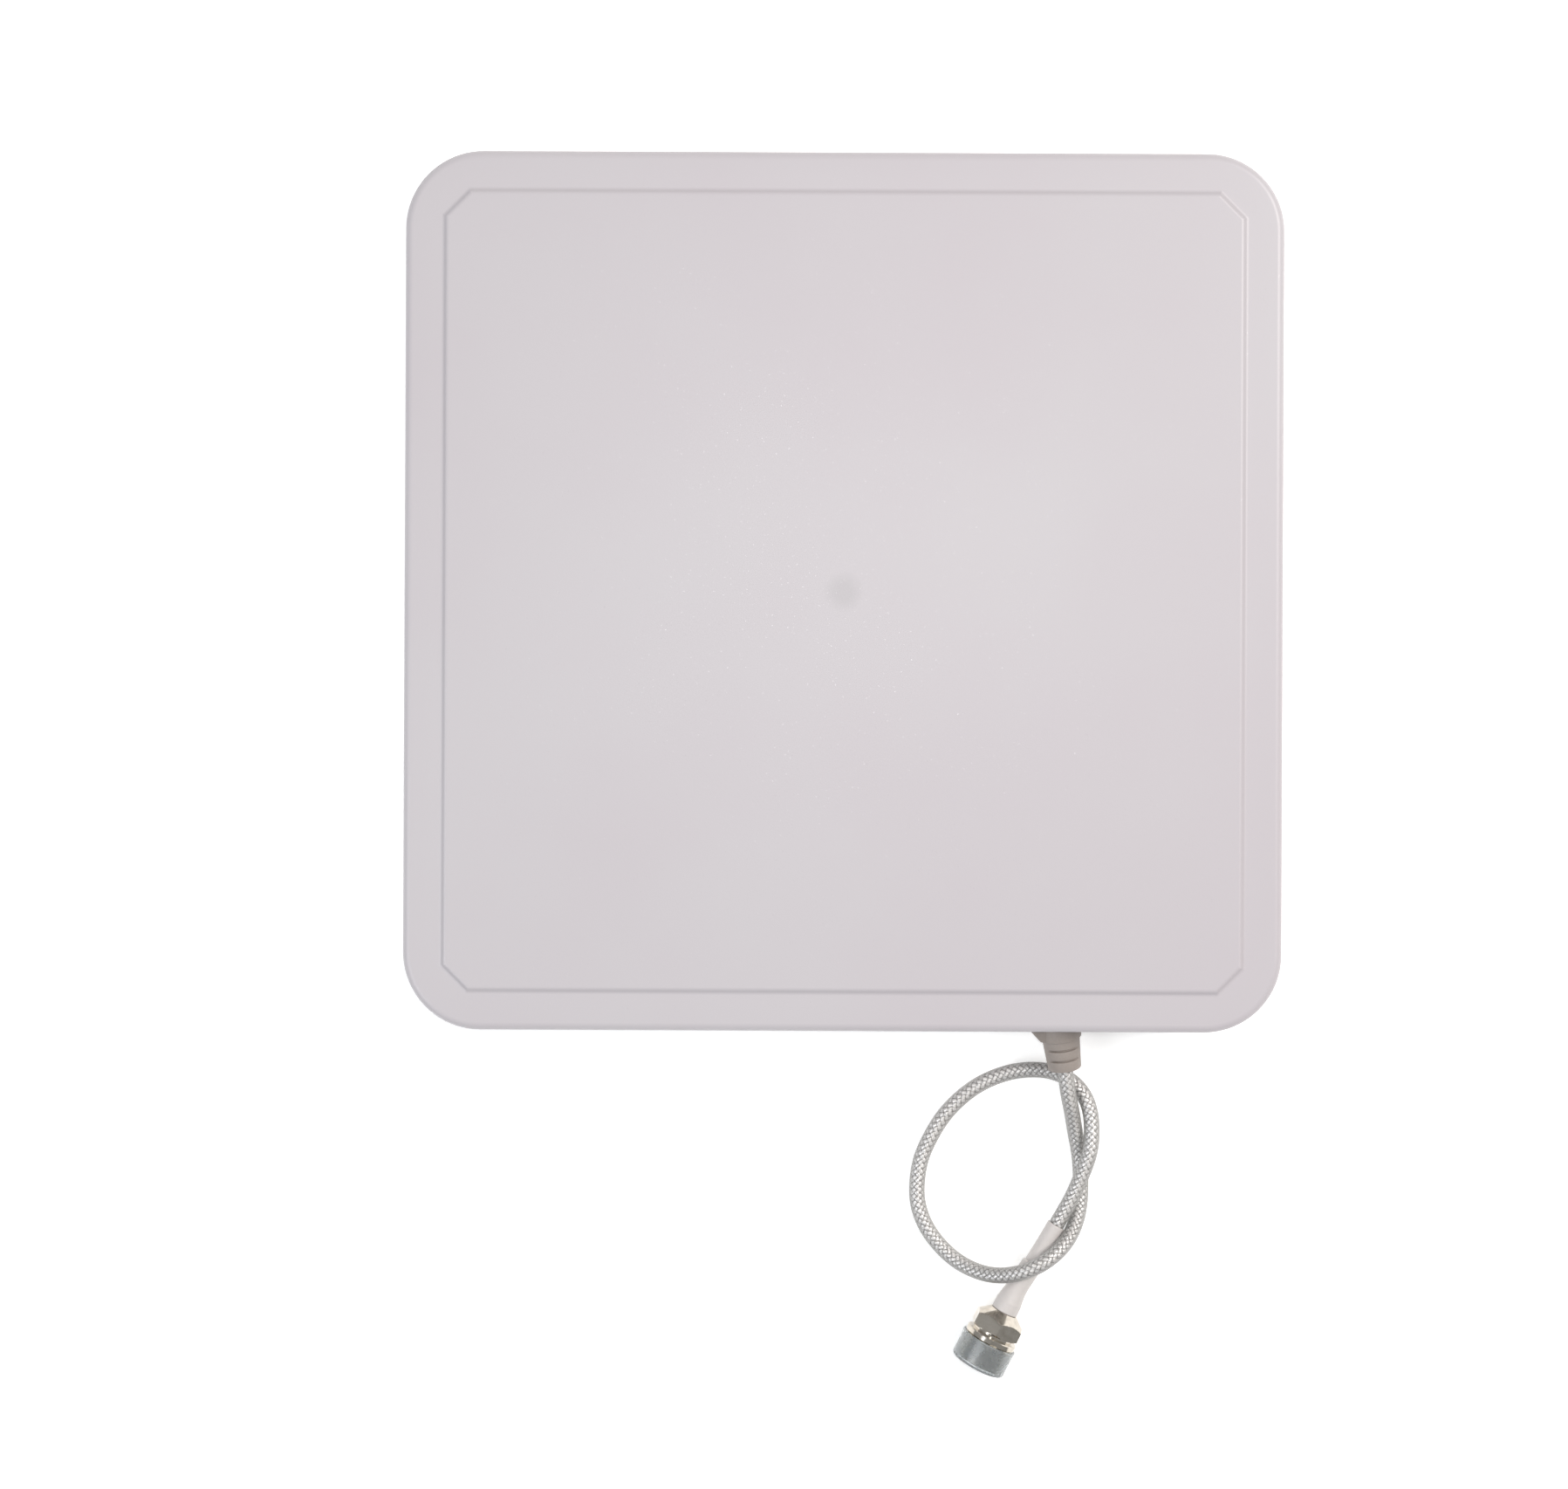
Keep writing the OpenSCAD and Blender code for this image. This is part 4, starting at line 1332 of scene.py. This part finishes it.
@dataclass
class Jack:
    """Nickel-plated jack: a chamfered hexagon, a neck, a collar and a fine thread."""

    finish: bpy.types.Material
    route: Route
    hex_w: float = 14.2
    hex_l: float = 6.9
    hex_rings: int = 46
    rear_r: float = 4.2
    rear_slope: float = 1.273
    front_r: float = 7.2
    front_slope: float = 1.715
    neck_r: float = 6.3
    neck_sunk: float = 0.5
    collar_z: float = 7.9
    collar_r: float = 8.0
    collar_l: float = 1.8
    collar_chamfer: float = 0.25
    thread_r: float = 7.9
    thread_l: float = 7.8
    pitch: float = 1.058
    thread_depth: float = 0.55
    thread_shape: Profile = ((0.0, 0.0), (0.12, 0.0), (0.44, 1.0), (0.56, 1.0), (0.88, 0.0), (1.0, 0.0))
    thread_steps: int = 48
    thread_clear: float = 0.02
    relief_t: float = 0.1
    relief_l: float = 0.3
    chamfer: float = 0.5
    end_chamfer: float = 0.2
    socket_r: float = 4.2
    socket_l: float = 9.0
    socket_chamfer: float = 0.3
    wire_r: float = 0.5
    seat_r: float = 3.05
    seat_z: float = 1.5
    around: int = 96

    def __post_init__(self) -> None:
        """Place the jack on the end of the cable."""
        start, end = (Vector(p) for p in self.route.points[-2:])
        self.direction = (end - start).normalized()
        self.place = axis_place(end, self.direction)
        self.thread_z = self.collar_z + self.collar_l
        self.front_z = self.thread_z + self.thread_l

    def hexagon(self, bm: bmesh.types.BMesh) -> None:
        """Add the hexagon, with a long cone behind and a chamfer in front.

        Args:
            bm: The mesh.
        """
        line = [(self.rear_r, self.hex_l * k / self.hex_rings) for k in range(self.hex_rings + 1)]
        verts = turned(bm, [(self.wire_r, 0.0), *line, (self.wire_r, self.hex_l)], self.around,
                       Matrix.Identity(4))
        for vert in verts:
            x, y, z = vert.co
            out = hypot(x, y)
            if out < (self.wire_r + self.rear_r) / 2:
                continue
            turn = (np.arctan2(y, x) + 2 * pi) % (pi / 3) - pi / 6
            flat = self.hex_w / 2 / cos(turn)
            rear = self.rear_r + self.rear_slope * z
            front = self.front_r + self.front_slope * (self.hex_l - z)
            vert.co = Vector((x, y, 0.0)) / out * min(flat, rear, front) + Vector((0, 0, z))
        bmesh.ops.transform(bm, matrix=self.place, verts=verts)

    def barrel(self, bm: bmesh.types.BMesh) -> None:
        """Add the neck, the collar, the threaded core and the socket's bore.

        Args:
            bm: The mesh.
        """
        root = self.thread_r - self.thread_depth
        core_r = root + self.thread_clear
        relief_r = root - self.relief_t
        relief_z = self.thread_z + self.relief_l
        neck_z = self.hex_l - self.neck_sunk
        collar_cut = self.collar_r - self.collar_chamfer
        socket_z = self.front_z - self.socket_l
        profile = [
            (self.wire_r, neck_z), (self.neck_r, neck_z),
            (self.neck_r, self.collar_z), (collar_cut, self.collar_z),
            (self.collar_r, self.collar_z + self.collar_chamfer),
            (self.collar_r, self.thread_z - self.collar_chamfer),
            (collar_cut, self.thread_z), (relief_r, self.thread_z), (relief_r, relief_z), (core_r, relief_z),
            (core_r, self.front_z - self.end_chamfer), (root - self.end_chamfer, self.front_z),
            (self.socket_r + self.socket_chamfer, self.front_z),
            (self.socket_r, self.front_z - self.socket_chamfer),
            (self.socket_r, socket_z), (self.seat_r, socket_z),
            (self.seat_r, self.seat_z), (self.wire_r, self.seat_z),
        ]
        turned(bm, profile + profile[:1], self.around, self.place)

    def thread(self, bm: bmesh.types.BMesh) -> None:
        """Cut the thread as one helical band, faded out at both ends.

        Args:
            bm: The mesh.
        """
        root = self.thread_r - self.thread_depth
        turns = int(self.thread_l / self.pitch) + 3
        start = self.thread_z - 1.5 * self.pitch
        old = set(bm.verts)
        line = [bm.verts.new((root + rise * self.thread_depth, 0.0, start + share * self.pitch))
                for share, rise in self.thread_shape]
        edges = [bm.edges.new(pair) for pair in zip(line, line[1:])]
        bmesh.ops.spin(bm, geom=line + edges, cent=(0, 0, 0), axis=(0, 0, 1), angle=2 * pi * turns,
                       steps=turns * self.thread_steps, dvec=(0, 0, self.pitch / self.thread_steps),
                       use_merge=False, use_normal_flip=False, use_duplicate=False)
        verts = [v for v in bm.verts if v not in old]
        for vert in verts:
            x, y, z = vert.co
            out = hypot(x, y)
            held = min(max(z, self.thread_z + self.thread_clear), self.front_z)
            past_end = max(held - (self.front_z - self.chamfer), self.thread_z + self.chamfer - held, 0.0)
            limit = self.thread_r - past_end
            vert.co = Vector((x, y, 0.0)) / out * min(out, limit) + Vector((0, 0, held))
        bmesh.ops.remove_doubles(bm, verts=verts, dist=20 * MERGE)
        verts = [v for v in bm.verts if v not in old]
        edges = list({e for v in verts for e in v.link_edges})
        bmesh.ops.dissolve_degenerate(bm, edges=edges, dist=10 * MERGE)
        verts = [v for v in bm.verts if v not in old]
        bmesh.ops.transform(bm, matrix=self.place, verts=verts)

    def build(self) -> bpy.types.Object:
        """Build the jack.

        Returns:
            The piece, which stands for the CAD jack.
        """
        bm = bmesh.new()
        self.hexagon(bm)
        self.barrel(bm)
        self.thread(bm)
        return make_piece(bm, "turned_jack", [self.finish], Body.PANEL, 28.0,
                          ["jack_body"])


@dataclass
class DustCap:
    """Thin cup pushed over the jack's thread."""

    finish: bpy.types.Material
    jack: Jack
    gap: float = 0.15
    wall_t: float = 0.4
    end_t: float = 0.8
    rim_gap: float = 0.1
    corner_r: float = 1.1
    corner_steps: int = 6
    bead: float = 0.12
    bead_from: float = 0.2
    bead_to: float = 0.7
    bead_fade: float = 0.3
    around: int = 96

    def corner(self, radius: float, end: float, curve: float) -> list[tuple[float, float]]:
        """Quarter round from the side of a wall to the cap's end.

        Args:
            radius: Radius of the wall.
            end: Height of the end.
            curve: Radius of the rounding.

        Returns:
            Radius and height of each point.
        """
        turns = [pi / 2 * k / self.corner_steps for k in range(self.corner_steps + 1)]
        return [(radius - curve * (1 - cos(t)), end - curve * (1 - sin(t))) for t in turns]

    def build(self) -> bpy.types.Object:
        """Build the cap.

        Returns:
            The piece, which stands for the CAD cap.
        """
        radius = self.jack.thread_r + self.gap + self.wall_t
        inner = radius - self.wall_t
        rim = self.jack.thread_z + self.rim_gap
        end = self.jack.front_z + self.end_t
        floor = end - self.end_t
        outside = self.corner(radius, end, self.corner_r)
        inside = self.corner(inner, floor, self.corner_r - self.wall_t)
        profile = [
            (0.0, end), *outside[::-1], (radius, rim + self.bead_to + self.bead_fade),
            (radius + self.bead, rim + self.bead_to), (radius + self.bead, rim + self.bead_from),
            (radius, rim), (inner, rim), *inside, (0.0, floor),
        ]
        bm = bmesh.new()
        turned(bm, profile, self.around, self.jack.place)
        return make_piece(bm, "soft_dust_cap", [self.finish], Body.CAP, 40.0,
                          ["dust_cap"])


# ---- The rest of the CAD model ----


@dataclass(frozen=True)
class Hardware:
    """CAD nodes of one make, which keep their shape and get a finish."""

    finish: Finish
    nodes: tuple[str, ...]

    def dress(self) -> None:
        """Give each node the finish."""
        material = self.finish.material()
        for node in self.nodes:
            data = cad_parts[node].data
            data.materials.clear()
            data.materials.append(material)
            log.info("%s: %s", node, material.name)


# ---- Finishes of this object ----

# Extruded vinyl: a clear, glossy film, grey towards the edges as a painted reflection
CLEAR_PVC = ClearJacket("clear_pvc_extruded", "#9d9c99", "#93928f", 0.14, 0.03, grain=6.0)
# Foil wrapped under the braid: dull grey metal, dark enough to stand as painted shade in the braid's gaps
GAP_SHADE_FOIL_CORE = Finish("foil_core_gap_shade", "#7d7a77", "#6b6966", 0.45, 0.05, 1.0, grain=1.0)
# Moulded rubber: matt and warm grey, with a fine tooth
BOOT_RUBBER = Finish("thermoplastic_rubber_moulded", "#9b928b", "#8f8680", 0.58, 0.06, grain=0.6,
                     relief=0.012)
# Tube shrunk by hot air: satin and slightly uneven
SHRINK_TUBE = Finish("polyolefin_shrunk", "#cfcac7", "#c4bfbc", 0.42, 0.08, grain=1.6, relief=0.03)
# Polyethylene: milky and faintly blue
CAP_PE = MilkyPolyethylene("polyethylene_moulded", "#dcdfdf", "#ccd4d8", 0.27, 0.05, ior=1.51, grain=2.5,
                           relief=0.005)
# ABS from a textured mould: an even satin
PANEL_ABS = MouldedAbs("abs_spark_textured", "#bfbbbe", "#bdb7bb", 0.40, grain=0.55)
# Opal sheet lit from below: an even white
LIT_ACRYLIC = LitAcrylic("opal_acrylic_lit", "#f4f4f3", "#f1f1f0", 0.75, 0.05, grain=8.0)

HARDWARE: Sequence[Hardware] = (
    # Rolled plate: fine streaks along X
    Hardware(Finish("aluminium_rolled", "#c6c9cb", "#aeb2b5", 0.34, 0.08, 1.0, grain=0.4,
                    stretch=(60.0, 1.0, 1.0), relief=0.004), ("ground_plate",)),
    # Cut sheet: brighter, with finer streaks along Y
    Hardware(Finish("aluminium_sheet_cut", "#cdd0d2", "#b7babd", 0.30, 0.07, 1.0, grain=0.5,
                    stretch=(1.0, 40.0, 1.0), relief=0.003),
             ("driven_patch", "parasitic_patch", "centre_post")),
    # Pressed foam: matt, dark and pitted
    Hardware(Finish("foam_strip_pressed", "#55585a", "#3f4244", 0.85, 0.05, grain=0.8, relief=0.15),
             ("plate_gasket",)),
    # Zinc on steel: bluish and blotched
    Hardware(Finish("steel_zinc_plated", "#bfc4c9", "#9aa1a8", 0.28, 0.10, 1.0, grain=1.2),
             ("cover_screws", "mounting_nuts", "base_screws", "centre_screw", "small_screws")),
    # Natural nylon: creamy and satin
    Hardware(Finish("nylon_moulded", "#ece9e0", "#dfdbd0", 0.42, 0.06, ior=1.53, grain=2.0),
             ("patch_standoffs", "patch_screws", "patch_spacer", "cable_saddle")),
    # Glass and epoxy: green and faintly mottled
    Hardware(Finish("glass_epoxy_laminate", "#2f6b45", "#255a39", 0.38, 0.07, grain=0.7), ("feed_board",)),
    # Etched copper: warm, and tarnished in patches
    Hardware(Finish("copper_etched", "#c98455", "#a9683f", 0.30, 0.10, 1.0, grain=1.5), ("coupler_tracks",)),
    # Drawn brass: smooth and yellow
    Hardware(Finish("brass_drawn", "#cda64f", "#b18a3a", 0.27, 0.07, 1.0, grain=0.8),
             ("feed_probes", "centre_conductor")),
    # Fired alumina: chalky white
    Hardware(Finish("alumina_fired", "#e6e2da", "#d6d1c7", 0.50, 0.08, ior=1.76, grain=0.5),
             ("termination_resistor",)),
    Hardware(SHRINK_TUBE, ("inner_coax",)),
    # Turned PTFE: a waxy white
    Hardware(Finish("ptfe_turned", "#f0eee8", "#e6e3dc", 0.45, 0.06, ior=1.36, grain=1.5),
             ("core_insulator", "jack_insulator")),
    # Nickel plate: a warm silver, a little duller than the jack's
    Hardware(Finish("nickel_plated_ferrule", "#c8c2b8", "#b2aca2", 0.25, 0.06, 1.0, grain=1.2),
             ("crimp_ferrule",)),
    # Gold plate: bright and yellow
    Hardware(Finish("gold_plated", "#e0b95e", "#c99f45", 0.22, 0.05, 1.0, grain=0.8), ("jack_contact",)),
)



# ---- Stage ----


@dataclass
class Studio:
    """Camera over the panel, a light table and soft light from the upper right."""

    camera_height: float = 0.95
    camera_roll: float = radians(0.25)
    lens: float = 71.4
    sensor: float = 36.0
    shift: tuple[float, float] = (-0.0381, -0.0974)
    floor_size: float = 6.0
    floor_drop: float = 0.0003

    def camera(self) -> bpy.types.Object:
        """Add the camera.

        Returns:
            The camera.
        """
        data = bpy.data.cameras.new("camera")
        data.sensor_fit = "HORIZONTAL"
        data.sensor_width = self.sensor
        data.lens = self.lens
        data.shift_x, data.shift_y = self.shift
        data.clip_start = 0.01
        data.clip_end = 50.0
        made = bpy.data.objects.new("camera", data)
        made.location = (0.0, 0.0, self.camera_height)
        made.rotation_euler = (0.0, 0.0, self.camera_roll)
        bpy.context.scene.collection.objects.link(made)
        bpy.context.scene.camera = made
        return made

    def floor(self, material: bpy.types.Material) -> bpy.types.Object:
        """Add the floor.

        Args:
            material: The floor's finish.

        Returns:
            The floor.
        """
        bm = bmesh.new()
        bmesh.ops.create_grid(bm, x_segments=1, y_segments=1, size=self.floor_size / 2,
                              matrix=Matrix.Translation((0.0, 0.0, -self.floor_drop)))
        mesh = bpy.data.meshes.new("floor")
        bm.to_mesh(mesh)
        bm.free()
        mesh.materials.append(material)
        made = bpy.data.objects.new("floor", mesh)
        bpy.context.scene.collection.objects.link(made)
        return made

    def softbox(self, name: str, place: Point, aim: Point, size: float, power: float, colour: str) -> None:
        """Add a square softbox that faces a point.

        Args:
            name: Name of the light.
            place: Where it stands, in metres.
            aim: The point that it faces.
            size: Its side in metres.
            power: Its power in watts.
            colour: Its colour in hex.
        """
        data = bpy.data.lights.new(name, "AREA")
        data.size = size
        data.energy = power
        data.color = linear(colour)[:3]
        made = bpy.data.objects.new(name, data)
        made.location = place
        made.rotation_euler = (Vector(aim) - Vector(place)).to_track_quat("-Z", "Y").to_euler()
        bpy.context.scene.collection.objects.link(made)

    def world(self, colour: str, strength: float) -> None:
        """Fill the room with even light.

        Args:
            colour: Colour of the light in hex.
            strength: Its strength.
        """
        made = bpy.data.worlds.new("room")
        made.use_nodes = True
        tree = made.node_tree
        tree.nodes.clear()
        light = add_node(tree, "Background", {"Color": linear(colour), "Strength": strength})
        add_node(tree, "OutputWorld", {"Surface": light.outputs[0]})
        bpy.context.scene.world = made

    def light(self) -> None:
        """Add the softboxes, the small light beside the camera and the room's own light."""
        self.softbox("key", (1.0, 0.45, 1.35), (0.0, -0.05, 0.0), 0.7, 22.0, "#fffaf6")
        self.softbox("fill", (-1.1, -0.5, 1.2), (0.0, -0.05, 0.0), 0.9, 10.5, "#f6f9ff")
        self.softbox("flash", (0.0, 0.03, 1.0), (0.0, -0.01, 0.0), 0.05, 1.4, "#ffffff")
        self.world("#e9ebec", 0.42)


def main() -> None:
    """Build the object and its studio."""
    logging.basicConfig(level=logging.INFO, format="%(message)s")
    bpy.context.scene.view_settings.view_transform = "Standard"
    studio = Studio()
    studio.camera()
    route = Route(FREE_ROUTE)

    # Tinned copper: a soft silver that shines at the crests of the weave, with painted shade in its dips
    braid = TinnedBraid("tinned_copper_braided", "#ffffff", "#f4f0ec", 0.28, 0.05, 0.45, grain=1.5,
                        crests=Pigtail.crests(route))
    pigtail = Pigtail(CLEAR_PVC.material(), braid.material(), GAP_SHADE_FOIL_CORE.material(), route).build()
    boot = StrainRelief(BOOT_RUBBER.material(), route).build()
    sleeves = Sleeves(SHRINK_TUBE.material(), route).build()

    before, end = (Vector(point) for point in FREE_ROUTE[-2:])
    heading = end - before
    # Nickel off the lathe: bright and warm, with fine rings round the jack
    nickel = TurnedNickel(
        "nickel_plated_brass_turned", "#e2dbd0", "#b3aa9d", 0.15, 0.05, 1.0, grain=1.6, relief=0.006,
        axis_place=tuple(end * MM), axis_turn=float(np.arctan2(heading.y, heading.x)))
    jack = Jack(nickel.material(), route)
    jack_piece = jack.build()
    cap = DustCap(CAP_PE.material(), jack).build()

    Radome(PANEL_ABS.material()).build()
    for kind in HARDWARE:
        kind.dress()

    studio.floor(LIT_ACRYLIC.material())
    studio.light()

    bpy.context.view_layer.update()


if __name__ == "__main__":
    main()
